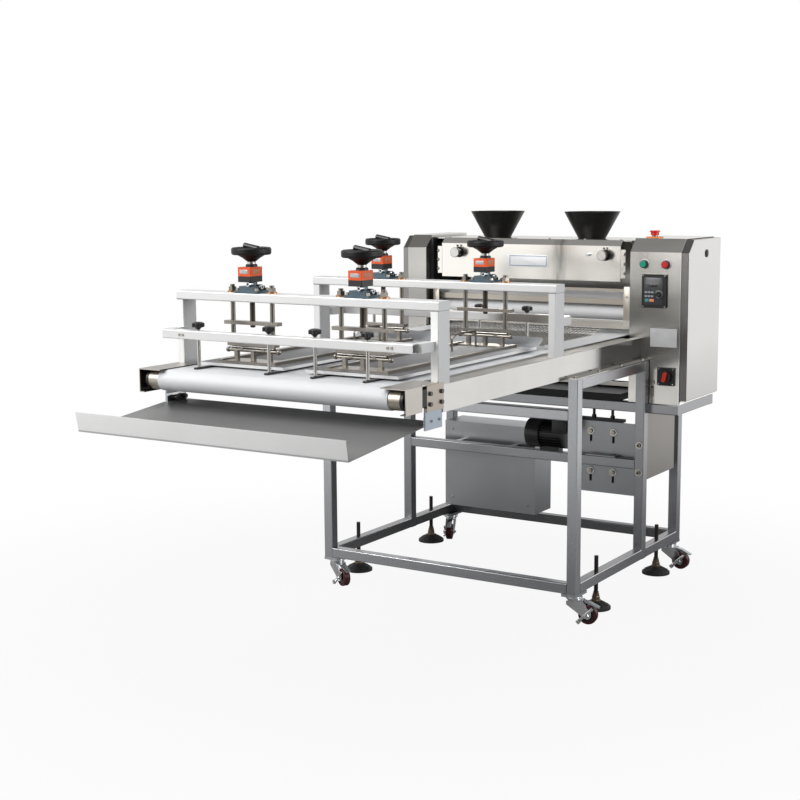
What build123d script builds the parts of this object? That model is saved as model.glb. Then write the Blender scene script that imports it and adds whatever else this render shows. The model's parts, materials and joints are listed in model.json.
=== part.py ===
from build123d import *
import math
import os

# Two-lane dough moulder. A castored frame of square tube carries a belt conveyor, two pressing
# boards that hang from screw jacks on two bridges, a sheeting head with two funnels between two
# side housings, and a tray under the discharge end.
# Millimetres. +Z is up, +X points to the control housing and -Y to the discharge tray. The origin
# is on the floor in the middle of the outline.

# Base frame
tube = 40.0
tube_wall = 2.0
tube_corner = 4.0
base_w = 1130.0
base_d = 1020.0
leg_h = 803.0
castor_h = 117.0
leg_clear = 8.0
front_rail_drop = 155.0
shelf_drop = 213.0
mid_rail_up = 365.0
shelf_past_right = 2.0
shelf_past_back = 15.0

# Castors and levelling feet
plate_w = 60.0
plate_d = 95.0
plate_t = 11.0
wheel_r = 36.0
wheel_w = 28.0
castor_trail = 55.0
fork_gap = 2.0
fork_t = 3.0
axle_r = 5.0
swivel_pin_r = 6.0
race_r = 28.0
race_h = 14.0
crown_t = 6.0
castor_turn = {"front_left": -28.0, "front_right": 11.0, "rear_left": -67.0, "rear_right": 1.0}
foot_front = 220.0
foot_rear_in = 210.0
foot_r = 57.0
foot_disc_h = 30.0
foot_nut_h = 20.0
foot_collar_h = 16.0
foot_rod_r = 8.0
foot_rod_up = 61.0
foot_lift = 12.0

# Conveyor
channel_h = 87.0
sheet_t = 3.0
channel_lip = 30.0
channel_foot = 35.0
channel_ahead = 886.0
belt_margin = 7.0
belt_t = 2.0
belt_proud = 7.2
roller_r = 33.0
nose_ahead = 1064.0
drive_in = 82.0
journal_r = 10.0
roller_play = 3.0
bed_t = 5.0
bed_bar_h = 26.0
bed_bar_d = 30.0
bed_bar_count = 4

# Nose end of the conveyor
splice_t = 6.0
splice_lap = 86.0
hanger_drop = 58.0
guard_past = 44.0
guard_rear = 50.0
guard_h = 77.0
guard_lap = 92.0
guard_flange = 18.0
guard_t = 3.0
boss_r = 20.0
boss_t = 13.0
block_d = 27.0
block_h = 54.0
nose_bolt_in = 20.0
nose_bolt_up = 23.0
nose_bolt_pitch_y = 67.0
nose_bolt_pitch_z = 33.0

# Discharge tray
tray_reach = 412.0
tray_step = 6.0
tray_front_drop = 73.0
tray_back_drop = 32.0
tray_lip_h = 65.0
tray_lip_lean = 12.0
tray_t = 2.0
tray_pin_r = 4.0
tray_pin_up = 13.0
tray_pin_in = 13.0
tray_pin_pitch = 47.0
spacer_r = 8.0
spacer_l = 18.0

# Bridges and pressing boards
post_w = 30.0
post_d = 70.0
post_h = 229.0
beam_h = 30.0
bridge_past = 26.0
rear_bridge = 105.0
lane = 222.0
rod_r = 8.0
rod_half = 83.0
rod_nut_h = 13.0
screw_r = 9.0
screw_past = 9.0
bushing_r = 12.0
bushing_flange_r = 17.0
bushing_flange_t = 5.0
board_half = 178.0
board_past = 36.0
board_bend = 7.0
board_tail = 41.0
board_rise = 29.0
board_t = 10.0
board_lift = 7.0
cross_half = 112.0
cross_d = 28.0
cross_h = 12.0
cross_drop = 78.0
foot_bar_half = 100.0
foot_bar_up = 54.0
foot_bar_h = 10.0
pivot_up = 39.0
pivot_r = 6.0
lug_w = 14.0
clamp_plate_d = 80.0
clamp_plate_t = 6.0
stiffener_w = 20.0
stiffener_h = 10.0
bail_ahead = 185.0
bail_l = 172.0
bail_h = 60.0
bail_r = 4.0
bail_in = 13.0

# Screw jacks
flange_w = 96.0
flange_t = 9.0
casting_w = 62.0
casting_h = 14.0
neck_r = 18.0
neck_h = 14.0
indicator_w = 54.0
indicator_d = 66.0
indicator_back = 24.0
indicator_base_h = 20.0
indicator_top_h = 30.0
collar_r = 14.0
collar_h = 16.0
wheel_rim_r = 67.0
rim_w = 18.0
rim_h = 25.0
hub_h = 23.0
handle_r = 9.0
handle_l = 72.0
handle_tilt = 10.0
handle_eye_r = 6.0
handle_eye_w = 15.0
handle_pin_r = 3.0
handle_pivot = 41.0
handle_drop = 6.0
ear_t = 4.0

# Lane guides
guide_tube = 30.0
guide_tube_wall = 3.0
guide_tube_corner = 3.0
guide_margin = 28.0
guide_up = 99.0
guide_past = 108.0
guide_behind = 82.0
arm_margin = 45.0
arm_w = 32.0
guide_bar_w = 14.0
guide_bar_h = 6.0
guide_rod_r = 6.0
guide_neck_r = 5.0
guide_knob_r = 22.0
guide_knob_h = 13.0
guide_stem_h = 13.0
guide_reach = 20.0
guide_x = {"left_outer": -352.0, "left_inner": -58.0, "right_inner": 125.0, "right_outer": 325.0}
guide_travel = {
    "left_outer": (-25.0, 40.0),
    "left_inner": (-40.0, 40.0),
    "right_inner": (-40.0, 40.0),
    "right_outer": (-40.0, 25.0),
}
guide_screw_in = 82.0
guide_screw_pitch = 15.0

# Housings and their covers
housing_lap = 51.0
housing_w_right = 214.0
housing_w_left = 92.0
housing_d = 352.0
housing_back_in = 8.0
housing_h = 653.0
housing_chamfer = 52.0
housing_t = 2.0
cover_d_right = 31.0
cover_d_left = 27.0
cover_inset = 4.0
cover_sill = 17.0
ledge_h = 5.0
lock_r = 16.0
lock_shaft_r = 6.5
lock_tongue_l = 22.0
lock_proud = 4.0
lock_drop = 62.0
lock_back = 14.0

# Controls on the right housing, across from its inner side and down from its top or up from its foot
bezel_r = 16.0
bezel_h = 14.0
button_r = 12.5
button_proud = 5.0
start_across = 61.0
stop_across = 152.0
button_drop = 99.0
panel_across = 106.0
panel_drop = 204.0
drive_panel_w = 102.0
drive_panel_h = 133.0
drive_panel_t = 10.0
speed_knob_right = 21.0
speed_knob_low = 12.0
speed_knob_r = 11.0
speed_knob_h = 13.0
data_plate_across = 146.0
data_plate_drop = 388.0
data_plate_w = 111.0
data_plate_h = 73.0
data_plate_t = 1.2
isolator_across = 161.0
isolator_up = 112.0
isolator_w = 72.0
isolator_t = 8.0
isolator_r = 24.0
isolator_h = 22.0
isolator_grip_l = 40.0
isolator_grip_w = 13.0
isolator_lean = 12.0
stop_head_across = 55.0
stop_head_back = 62.0
stop_head_r = 20.5
stop_skirt_r = 16.5
stop_head_h = 19.0
stop_stem_h = 10.0
stop_ring_r = 34.0
stop_ring_h = 4.0
earth_across = 103.0
earth_up = 27.0
earth_w = 14.0
earth_h = 44.0
earth_t = 2.0

# Sheeting head
end_plate_t = 12.0
end_plate_in = 40.0
end_plate_rear_in = 12.0
end_plate_up = 43.0
head_drop = 10.0
top_plate_t = 5.0
cover_margin = 46.0
cover_in = 37.0
cover_drop = 23.0
cover_h = 142.0
slope_d = 25.0
bracket_w = 21.0
bracket_h = 115.0
notch_h = 14.0
notch_d = 5.0
lower_roller_r = 33.0
upper_roller_r = 24.0
sheet_roller_in = 115.0
lower_roller_up = 81.0
roller_nip = 6.0
sheet_journal_r = 12.0
gap_knob_r = 21.0
gap_knob_l = 42.0
gap_knob_t = 12.0
gap_knob_stem = 10.0
gap_pin_r = 4.0
gap_pin_out = 28.0
gap_knob_left = -330.0
gap_knob_right = 350.0
gap_knob_drop = 37.0
plunger_r = 5.0
plunger_x = 276.0
funnel_in = 182.0
funnel_mouth_r = 116.0
funnel_foot_r = 56.0
funnel_h = 111.0
funnel_t = 3.0
mat_half = 350.0
mat_trail = 433.0
mat_ahead = 70.0
mat_t = 3.0

# Bars of the head: distance behind the housing's front, depth, height over the belt and own height
bar_rows = (
    (44.0, 12.0, 169.0, 12.0),
    (64.0, 10.0, 116.0, 22.0),
    (42.0, 10.0, 45.0, 8.0),
    (42.0, 16.0, 20.0, 23.0),
    (52.0, 12.0, -214.0, 15.0),
)

# Drive and boxes under the conveyor
box_left = -402.0
box_right = 38.0
box_up = 105.0
box_h = 374.0
box_d = 150.0
box_back = 46.0
box_lid_t = 3.0
box_strap_w = 24.0
motor_left = 50.0
motor_right = 225.0
motor_r = 57.0
motor_fin = 8.0
motor_fins = 28
motor_foot_h = 14.0
motor_plate_left = 250.0
motor_plate_in = 7.0
motor_plate_drop = 118.0
motor_plate_h = 294.0
motor_plate_t = 8.0
slot_w = 11.0
slot_l = 44.0
adjuster_in = 63.0
adjuster_d = 34.0
adjuster_h = 12.0
stud_r = 6.0
guard_box_h = 269.0
guard_box_d = 286.0
guard_box_w = 38.0
rail_plate_left = 310.0
rail_plate_w = 130.0
rail_plate_t = 4.0
crumb_margin = 22.0
crumb_front_in = 3.0
crumb_back_in = 7.0
crumb_h = 28.0

# Bolts and screws: across flats, height of the head, and places
nose_bolt_s = 13.0
nose_bolt_h = 6.0
rail_screw_s = 11.0
rail_screw_h = 5.0
rail_screw_count = 4
arm_screw_s = 8.0
arm_screw_h = 3.0
lid_screw_s = 10.0
lid_screw_h = 4.0
lid_screw_in = 35.0
plate_bolt_s = 16.0
plate_bolt_h = 8.0
washer_s = 26.0
washer_t = 3.0
leg_bolt_drop = 11.0
leg_bolt_pitch = 111.0
flange_screw_s = 13.0
flange_screw_h = 8.0
flange_screw_in = 9.0

# Fits and clearances
running = 0.05
clear = 0.3
gap = 0.6
hinge_gap = 1.0

# Widths worked out from the sizes above, measured from the conveyor's middle plane
leg_out = base_w / 2
leg_in = leg_out - tube
channel_half = leg_in
web_in = channel_half - sheet_t
housing_in = channel_half - housing_lap
end_in = housing_in - end_plate_t
housing_right = housing_in + housing_w_right
housing_left = housing_in + housing_w_left
cover_out_right = housing_right + cover_d_right
cover_out_left = housing_left + cover_d_left
belt_half = end_in - belt_margin
bed_half = belt_half + 2 * hinge_gap
drive_roller_half = belt_half + roller_play
nose_roller_half = channel_half - boss_t - roller_play
tray_half = web_in
cover_half = end_in - cover_margin
guide_half = channel_half - guide_margin
arm_in = channel_half - arm_margin
guide_screw_x = guide_half - guide_screw_in
motor_plate_right = leg_in - motor_plate_in
adjuster_right = motor_plate_right - adjuster_in
crumb_half = end_in - crumb_margin
start_x = housing_in + start_across
stop_x = housing_in + stop_across
drive_panel_x = housing_in + panel_across
speed_knob_x = drive_panel_x + speed_knob_right
plate_x = housing_in + data_plate_across
isolator_x = housing_in + isolator_across
stop_head_x = housing_in + stop_head_across
earth_x = housing_in + earth_across

# Lengths worked out from the sizes above, measured back or ahead from the base frame's front face
housing_back = base_d - housing_back_in
housing_front = housing_back - housing_d
mid_leg_back = housing_front - leg_clear - tube
shelf_back = base_d + shelf_past_back
foot_rear = base_d - foot_rear_in
drive_back = housing_back - drive_in
end_plate_front = housing_front + end_plate_in
end_plate_back = housing_back - end_plate_rear_in
cover_front = housing_front + cover_in
slope_back = cover_front + slope_d
sheet_roller_back = housing_front + sheet_roller_in
funnel_back = housing_front + funnel_in
mat_bend = housing_front - mat_ahead
mat_front = mat_bend - mat_trail
crumb_front = mid_leg_back + tube + crumb_front_in
crumb_back = shelf_back - crumb_back_in
guard_front = nose_ahead + guard_past
guard_back = nose_ahead - guard_rear
splice_front = guard_back - block_d
tray_back = splice_front + tray_step
tray_front = tray_back + tray_reach
tray_tail = channel_ahead + tray_step
front_bridge = channel_ahead + bridge_past
board_front = front_bridge + board_past
guide_front = front_bridge + guide_past
guide_rear = post_d - rear_bridge + guide_behind
bail_front = rear_bridge + bail_ahead
bail_rear = bail_front - bail_l

# Where the conveyor's middle plane and the base frame's front face stand in the outline
left_reach = max(cover_out_left, leg_out - tube / 2 + foot_r)
middle = (left_reach - cover_out_right - lock_proud) / 2
front = (tray_front + tray_lip_lean - shelf_back) / 2

# Heights worked out from the sizes above
base_z = castor_h
leg_top = base_z + leg_h
front_rail_z = leg_top - front_rail_drop
shelf_z = leg_top - shelf_drop
shelf_top = shelf_z + tube
mid_rail_z = base_z + mid_rail_up
foot_rod_top = base_z + tube + foot_rod_up
channel_top = leg_top + channel_h
belt_r = roller_r + clear + belt_t
belt_top = channel_top + belt_proud
roller_z = belt_top - belt_r
board_z = belt_top + board_lift
board_top = board_z + board_t
beam_z = channel_top + post_h
bridge_top = beam_z + beam_h
cross_z = beam_z - cross_drop
screw_end = cross_z - screw_past
foot_bar_z = board_top + foot_bar_up
pivot_z = board_top + pivot_up
casting_top = bridge_top + flange_t + casting_h + neck_h
indicator_top = casting_top + indicator_base_h + indicator_top_h
hub_z = indicator_top + gap + collar_h
guide_z = belt_top + guide_up
tray_front_z = leg_top - tray_front_drop
tray_back_z = leg_top - tray_back_drop
housing_top = shelf_top + housing_h
head_top = housing_top - head_drop
end_plate_z = shelf_top + end_plate_up
cover_top = head_top - cover_drop
cover_bottom = cover_top - cover_h
gap_knob_z = cover_top - gap_knob_drop
lower_roller_z = belt_top + lower_roller_up
upper_roller_z = lower_roller_z + lower_roller_r + roller_nip + upper_roller_r
button_z = housing_top - button_drop
drive_panel_z = housing_top - panel_drop
speed_knob_z = drive_panel_z - speed_knob_low
plate_z = housing_top - data_plate_drop
isolator_z = shelf_top + isolator_up
earth_z = shelf_top + earth_up
box_z = base_z + box_up
motor_plate_z = mid_rail_z - motor_plate_drop
guard_box_z = shelf_z - guard_box_h

# Places in the outline
bridge_y = {"front": front - front_bridge + post_d / 2, "rear": front - rear_bridge + post_d / 2}
lane_x = {"left": middle - lane, "right": middle + lane}
guide_y = {"front": front - guide_front + guide_tube / 2, "rear": front + guide_rear + guide_tube / 2}
nose_y = front - nose_ahead
drive_y = front + drive_back
face_y = front + housing_front
sides = {"left": -1, "right": 1}
corners = [(side, end) for end in ("front", "rear") for side in ("left", "right")]

os.makedirs("parts", exist_ok=True)


def block(x0, x1, y0, y1, z0, z1, mode=Mode.ADD):
    """A box between two corners, in the part that is open."""
    low = (min(x0, x1), min(y0, y1), min(z0, z1))
    with Locations(low):
        Box(abs(x1 - x0), abs(y1 - y0), abs(z1 - z0), align=(Align.MIN,) * 3, mode=mode)


def rod_z(x, y, z0, z1, radius, mode=Mode.ADD):
    """An upright cylinder in the part that is open."""
    with Locations((x, y, (z0 + z1) / 2)):
        Cylinder(radius, abs(z1 - z0), mode=mode)


def rod_x(x0, x1, y, z, radius, mode=Mode.ADD):
    """A cylinder along X in the part that is open."""
    with Locations(((x0 + x1) / 2, y, z)):
        Cylinder(radius, abs(x1 - x0), rotation=(0, 90, 0), mode=mode)


def rod_y(x, y0, y1, z, radius, mode=Mode.ADD):
    """A cylinder along Y in the part that is open."""
    with Locations((x, (y0 + y1) / 2, z)):
        Cylinder(radius, abs(y1 - y0), rotation=(90, 0, 0), mode=mode)


def across(x):
    """The plane square to X at x: its own x is Y and its own y is Z."""
    return Plane((x, 0, 0), x_dir=(0, 1, 0), z_dir=(1, 0, 0))


def facing(x, y):
    """The upright plane that faces the tray, through x and y: its own x is X and its own y is Z."""
    return Plane((x, y, 0), x_dir=(1, 0, 0), z_dir=(0, -1, 0))


def outline(*points):
    """A filled polygon in the sketch that is open."""
    Polygon(*points, align=None)


def turned(x, y, *profile):
    """A solid turned about the upright axis through x and y, from radius and height pairs."""
    with BuildSketch(facing(x, y)) as half_section:
        outline(*profile)
    revolve(half_section.sketch, axis=Axis((x, y, 0), (0, 0, 1)))


def hex_head(plane, points, across_flats, height):
    """Hexagon heads at points of a plane, in the part that is open."""
    with BuildSketch(plane) as heads:
        with Locations(*points):
            RegularPolygon(across_flats / 2, 6, major_radius=False)
    extrude(heads.sketch, amount=height)


def tube_piece(x0, x1, y0, y1, z0, z1, axis, wall=tube_wall):
    """A tube with rounded edges between two corners, hollow along one axis."""
    low, high = [x0, y0, z0], [x1, y1, z1]
    with BuildPart() as piece:
        block(x0, x1, y0, y1, z0, z1)
        fillet(piece.edges().filter_by(getattr(Axis, axis)), radius=tube_corner)
        for n, name in enumerate("XYZ"):
            if name != axis:
                low[n] += wall
                high[n] -= wall
        block(low[0], high[0], low[1], high[1], low[2], high[2], mode=Mode.SUBTRACT)
    return piece.part


def save(part, name):
    """Labels a finished piece and writes it."""
    part.label = name
    export_step(part, f"parts/{name}.step")


def save_group(pieces, name):
    """Writes several solids that touch as one group, without melting them together."""
    group = Compound(label=name, children=pieces)
    export_step(group, f"parts/{name}.step")


# Six legs
leg_rows = (0.0, mid_leg_back, base_d - tube)
legs = []
for row, top in zip(leg_rows, (leg_top, leg_top, shelf_z)):
    for sign in sides.values():
        x = middle + sign * (leg_out - tube / 2)
        y = front + row
        legs.append(tube_piece(x - tube / 2, x + tube / 2, y, y + tube, base_z, top, "Z"))

# Rails between the legs, the shelf under the right housing and the castor plates
rail_pieces = []
row_y = [front + row for row in leg_rows]
for y, z in (
    (row_y[0], base_z),
    (row_y[0], front_rail_z),
    (row_y[1], mid_rail_z),
    (row_y[2], base_z),
):
    rail_pieces.append(tube_piece(middle - leg_in, middle + leg_in, y, y + tube, z, z + tube, "X"))
shelf_y0 = row_y[1] + tube
shelf_y1 = front + shelf_back
shelf_x0 = middle - cover_out_left
shelf_x1 = middle + housing_right + shelf_past_right
for y in (shelf_y0, shelf_y1 - tube):
    rail_pieces.append(tube_piece(shelf_x0, shelf_x1, y, y + tube, shelf_z, shelf_top, "X"))
for x in (shelf_x0, shelf_x1 - tube):
    rail_pieces.append(
        tube_piece(x, x + tube, shelf_y0 + tube, shelf_y1 - tube, shelf_z, shelf_top, "Y")
    )
inner = tube / 2 - tube_wall
for y in (shelf_y0 + tube / 2, shelf_y1 - tube / 2):
    for x in (shelf_x0, shelf_x1 - tube_wall):
        with BuildPart() as end_cap:
            z = shelf_z + tube / 2
            block(x, x + tube_wall, y - inner, y + inner, z - inner, z + inner)
        rail_pieces.append(end_cap.part)
for y in (row_y[0] + tube / 2, row_y[1] + tube / 2):
    for sign in sides.values():
        with BuildPart() as leg_cap:
            x = middle + sign * (leg_out - tube / 2)
            block(x - inner, x + inner, y - inner, y + inner, leg_top - tube_wall, leg_top)
        rail_pieces.append(leg_cap.part)
foot_y = {"front": front + foot_front, "rear": front + foot_rear}
for sign in sides.values():
    x = middle + sign * (leg_out - tube / 2)
    for y0, y1, y_foot in (
        (row_y[0] + tube, row_y[1], foot_y["front"]),
        (row_y[1] + tube, row_y[2], foot_y["rear"]),
    ):
        with BuildPart() as low_rail:
            block(x - tube / 2, x + tube / 2, y0, y1, base_z, base_z + tube)
            fillet(low_rail.edges().filter_by(Axis.Y), radius=tube_corner)
            block(
                x - inner, x + inner, y0, y1, base_z + tube_wall, base_z + tube - tube_wall,
                mode=Mode.SUBTRACT,
            )
            rod_z(x, y_foot, base_z, base_z + tube, foot_rod_r + running, mode=Mode.SUBTRACT)
        rail_pieces.append(low_rail.part)
    y0, y1 = row_y[0] + tube, row_y[1]
    rail_pieces.append(
        tube_piece(x - tube / 2, x + tube / 2, y0, y1, leg_top - tube, leg_top, "Y")
    )
castor_at = {}
for side, end in corners:
    x = middle + sides[side] * (leg_out - tube / 2 - (plate_w - tube) / 2)
    y = front + plate_d / 2 if end == "front" else front + base_d - plate_d / 2
    castor_at[f"{end}_{side}"] = (x, y)
    with BuildPart() as castor_plate:
        block(x - plate_w / 2, x + plate_w / 2, y - plate_d / 2, y + plate_d / 2, base_z - plate_t, base_z)
        rod_z(x, y, base_z - plate_t, base_z, swivel_pin_r + running, mode=Mode.SUBTRACT)
    rail_pieces.append(castor_plate.part)
save_group(legs + rail_pieces, "base_frame")

# Castor forks with their brake pedals, and their wheels
cheek_in = wheel_w / 2 + fork_gap
cheek_out = cheek_in + fork_t
race_top = base_z - plate_t - clear
crown_z = race_top - race_h
for place, turn in castor_turn.items():
    x, y = castor_at[place]
    along = Vector(math.cos(math.radians(turn)), math.sin(math.radians(turn)), 0)
    square = Vector(along.Y, -along.X, 0)
    side_plane = Plane((x, y, 0), x_dir=along, z_dir=square)
    with BuildPart() as fork:
        rod_z(x, y, crown_z, race_top, race_r)
        rod_z(x, y, race_top, base_z - clear, swivel_pin_r)
        for offset in (cheek_in, -cheek_out):
            with BuildSketch(side_plane.offset(offset)):
                outline(
                    (-race_r * 0.7, crown_z),
                    (race_r * 1.3, crown_z),
                    (castor_trail + 3 * axle_r, wheel_r + axle_r),
                    (castor_trail + 2 * axle_r, wheel_r - 2 * axle_r),
                    (castor_trail - 2 * axle_r, wheel_r - 2 * axle_r),
                    (-race_r * 0.7, crown_z - 2 * crown_t),
                )
            extrude(amount=fork_t)
        with BuildSketch(side_plane):
            outline(
                (-race_r * 0.7, crown_z),
                (race_r * 1.3, crown_z),
                (race_r * 1.3, crown_z - crown_t),
                (-race_r * 0.7, crown_z - crown_t),
            )
        extrude(amount=cheek_out, both=True)
        with BuildSketch(side_plane):
            outline(
                (race_r, crown_z),
                (castor_trail + wheel_r * 0.15, crown_z - crown_t),
                (castor_trail + wheel_r * 1.2, crown_z - 4 * crown_t),
                (castor_trail + wheel_r * 1.2, crown_z - 4.6 * crown_t),
                (castor_trail, crown_z - 2 * crown_t),
                (race_r, crown_z - crown_t),
            )
        extrude(amount=wheel_w * 0.4, both=True)
        with BuildSketch(side_plane):
            with Locations((castor_trail, wheel_r)):
                Circle(axle_r)
        extrude(amount=cheek_out + fork_t, both=True)
    save(fork.part, f"castor_fork_{place}")

    with BuildPart() as castor_wheel:
        with BuildSketch(side_plane):
            with Locations((castor_trail, wheel_r)):
                Circle(wheel_r)
                Circle(axle_r + running, mode=Mode.SUBTRACT)
        extrude(amount=wheel_w / 2, both=True)
        treads = castor_wheel.edges().filter_by(GeomType.CIRCLE).group_by(SortBy.RADIUS)[-1]
        fillet(treads, radius=wheel_w / 6)
        for offset in (wheel_w / 2 - fork_gap, -wheel_w / 2):
            with BuildSketch(side_plane.offset(offset)):
                with Locations((castor_trail, wheel_r)):
                    Circle(wheel_r * 0.68)
                    Circle(wheel_r * 0.3, mode=Mode.SUBTRACT)
            extrude(amount=fork_gap, mode=Mode.SUBTRACT)
    save(castor_wheel.part, f"castor_wheel_{place}")

# Levelling feet: a disc on a threaded rod through the lower side rails
for side, end in corners:
    x = middle + sides[side] * (leg_out - tube / 2)
    y = foot_y[end]
    disc_top = foot_lift + foot_disc_h
    nut_top = disc_top + foot_nut_h
    with BuildPart() as foot:
        turned(
            x, y,
            (0, foot_lift),
            (foot_r, foot_lift),
            (foot_r, foot_lift + foot_disc_h * 0.3),
            (foot_r * 0.86, foot_lift + foot_disc_h * 0.5),
            (foot_rod_r * 2.4, disc_top),
            (0, disc_top),
        )
        rod_z(x, y, disc_top, foot_rod_top, foot_rod_r)
        hex_head(Plane((x, y, disc_top)), [(0, 0)], 3 * foot_rod_r, foot_nut_h)
        rod_z(x, y, nut_top, nut_top + foot_collar_h, foot_rod_r * 1.3)
    save(foot.part, f"levelling_foot_{end}_{side}")

# Conveyor side channels, the slider bed and its cross bars
frame_pieces = []
channel_y0 = front - channel_ahead
channel_y1 = face_y - hinge_gap
for sign in sides.values():
    with BuildPart() as channel:
        block(
            middle + sign * web_in, middle + sign * channel_half, channel_y0, channel_y1, leg_top, channel_top
        )
        block(
            middle + sign * (web_in - channel_lip), middle + sign * web_in,
            channel_y0, channel_y1, channel_top - sheet_t, channel_top,
        )
        block(
            middle + sign * channel_half, middle + sign * (channel_half + channel_foot),
            front, channel_y1, leg_top, leg_top + sheet_t,
        )
    frame_pieces.append(channel.part)
bed_top = roller_z + roller_r + clear - gap
bed_y0 = nose_y + roller_r + 2 * bed_t
bed_y1 = drive_y - roller_r - 2 * bed_t
with BuildPart() as bed:
    block(middle - bed_half, middle + bed_half, bed_y0, bed_y1, bed_top - bed_t, bed_top)
frame_pieces.append(bed.part)
bar_pitch = (channel_y1 - channel_y0) / bed_bar_count
for n in range(bed_bar_count):
    y = channel_y0 + (n + 0.5) * bar_pitch
    with BuildPart() as bed_bar:
        block(
            middle - web_in, middle + web_in, y, y + bed_bar_d,
            channel_top - sheet_t - bed_bar_h, channel_top - sheet_t,
        )
        block(
            middle - bed_half, middle + bed_half, y, y + bed_bar_d,
            channel_top - sheet_t, bed_top - bed_t,
        )
    frame_pieces.append(bed_bar.part)
save_group(frame_pieces, "conveyor_frame")

# Belt, an endless loop round the nose roller and the drive roller
with BuildPart() as belt:
    with BuildSketch(across(middle)):
        with Locations(((nose_y + drive_y) / 2, roller_z)):
            SlotCenterToCenter(drive_y - nose_y, 2 * belt_r)
            SlotCenterToCenter(drive_y - nose_y, 2 * (roller_r + clear), mode=Mode.SUBTRACT)
    extrude(amount=belt_half, both=True)
save(belt.part, "belt")

# Nose roller with recessed ends, and drive roller
journal_end = channel_half - gap
with BuildPart() as nose_roller:
    rod_x(middle - nose_roller_half, middle + nose_roller_half, nose_y, roller_z, roller_r)
    for sign in sides.values():
        face = middle + sign * nose_roller_half
        rod_x(face, face - sign * journal_r, nose_y, roller_z, roller_r * 0.82, mode=Mode.SUBTRACT)
    rod_x(middle - journal_end, middle + journal_end, nose_y, roller_z, journal_r)
save(nose_roller.part, "nose_roller")

with BuildPart() as drive_roller:
    rod_x(middle - drive_roller_half, middle + drive_roller_half, drive_y, roller_z, roller_r)
    shaft_end = housing_in - gap
    rod_x(middle - shaft_end, middle + shaft_end, drive_y, roller_z, journal_r)
save(drive_roller.part, "drive_roller")

# Nose plates, splices with tray hangers, tension blocks and roller guards
nose_pieces = []
splice_y0 = front - splice_front
plate_low = leg_top + channel_h - guard_h + sheet_t
nose_bolts = [
    (splice_y0 + nose_bolt_in + n * nose_bolt_pitch_y, plate_low + nose_bolt_up + m * nose_bolt_pitch_z)
    for n in (0, 1)
    for m in (0, 1)
]
tray_pin_z = tray_back_z + tray_pin_up
tray_pins = [front - tray_tail - tray_pin_in - n * tray_pin_pitch for n in (0, 1)]
guard_top = belt_top + gap
for sign in sides.values():
    outer = middle + sign * channel_half
    inner = middle + sign * web_in
    splice_in = inner - sign * splice_t
    with BuildPart() as nose_plate:
        block(outer, outer + sign * guard_t, splice_y0, channel_y0 - gap, plate_low, guard_top)
    nose_pieces.append(nose_plate.part)
    with BuildPart() as splice:
        block(splice_in, inner, splice_y0, channel_y0 + splice_lap, plate_low, channel_top - sheet_t)
        block(splice_in, inner, splice_y0, channel_y0 - gap, plate_low - hanger_drop, plate_low)
        block(inner, outer, splice_y0, channel_y0 - gap, plate_low, channel_top - sheet_t)
        for y in tray_pins:
            rod_x(splice_in, inner, y, tray_pin_z, tray_pin_r, mode=Mode.SUBTRACT)
    nose_pieces.append(splice.part)
    with BuildPart() as tension_block:
        block_z = roller_z - block_h / 2
        block(
            splice_in - sign * splice_t, outer + sign * guard_t,
            front - guard_back, splice_y0, block_z, block_z + block_h,
        )
    nose_pieces.append(tension_block.part)
    with BuildPart() as guard:
        block(
            outer, outer + sign * guard_t, front - guard_front, front - guard_back,
            guard_top - guard_h, guard_top + guard_t,
        )
        block(
            outer + sign * guard_t, outer + sign * (guard_t - guard_lap),
            front - guard_front, front - guard_back, guard_top, guard_top + guard_t,
        )
        block(
            outer, outer + sign * (guard_t - guard_lap),
            front - guard_back, bridge_y["front"] - post_d / 2 - gap, guard_top, guard_top + guard_t,
        )
        block(
            outer, outer - sign * guard_flange, front - guard_front, front - guard_back,
            guard_top - guard_h, guard_top - guard_h + guard_t,
        )
        rod_x(outer - sign * boss_t, outer, nose_y, roller_z, boss_r)
        rod_x(
            outer - sign * boss_t, outer, nose_y, roller_z, journal_r + running, mode=Mode.SUBTRACT
        )
    nose_pieces.append(guard.part)
save_group(nose_pieces, "nose_plates")

# Discharge tray, its side tabs, and the pins and spacers that hang it
tab_out = web_in - splice_t
tray_points = (
    (front - tray_front - tray_lip_lean, tray_front_z + tray_lip_h),
    (front - tray_front, tray_front_z),
    (front - tray_back, tray_back_z),
    (front - tray_back, tray_back_z + tray_t),
    (front - tray_front + tray_t, tray_front_z + tray_t),
    (front - tray_front - tray_lip_lean + tray_t, tray_front_z + tray_lip_h),
)
tail_points = (
    (front - tray_back, tray_back_z),
    (front - tray_tail, tray_back_z),
    (front - tray_tail, tray_back_z + tray_t),
    (front - tray_back, tray_back_z + tray_t),
)
with BuildPart() as tray:
    with BuildSketch(across(middle)):
        outline(*tray_points)
    extrude(amount=tray_half, both=True)
    with BuildSketch(across(middle)):
        outline(*tail_points)
    extrude(amount=tab_out, both=True)
    for sign in sides.values():
        tab = middle + sign * tab_out
        block(
            tab - sign * tray_t, tab, splice_y0 + gap, front - tray_tail,
            tray_back_z, tray_pin_z + 2 * spacer_r,
        )
        for y in tray_pins:
            rod_x(tab - sign * spacer_l, tab, y, tray_pin_z, spacer_r)
            rod_x(tab, middle + sign * channel_half, y, tray_pin_z, tray_pin_r)
save(tray.part, "discharge_tray")

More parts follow.
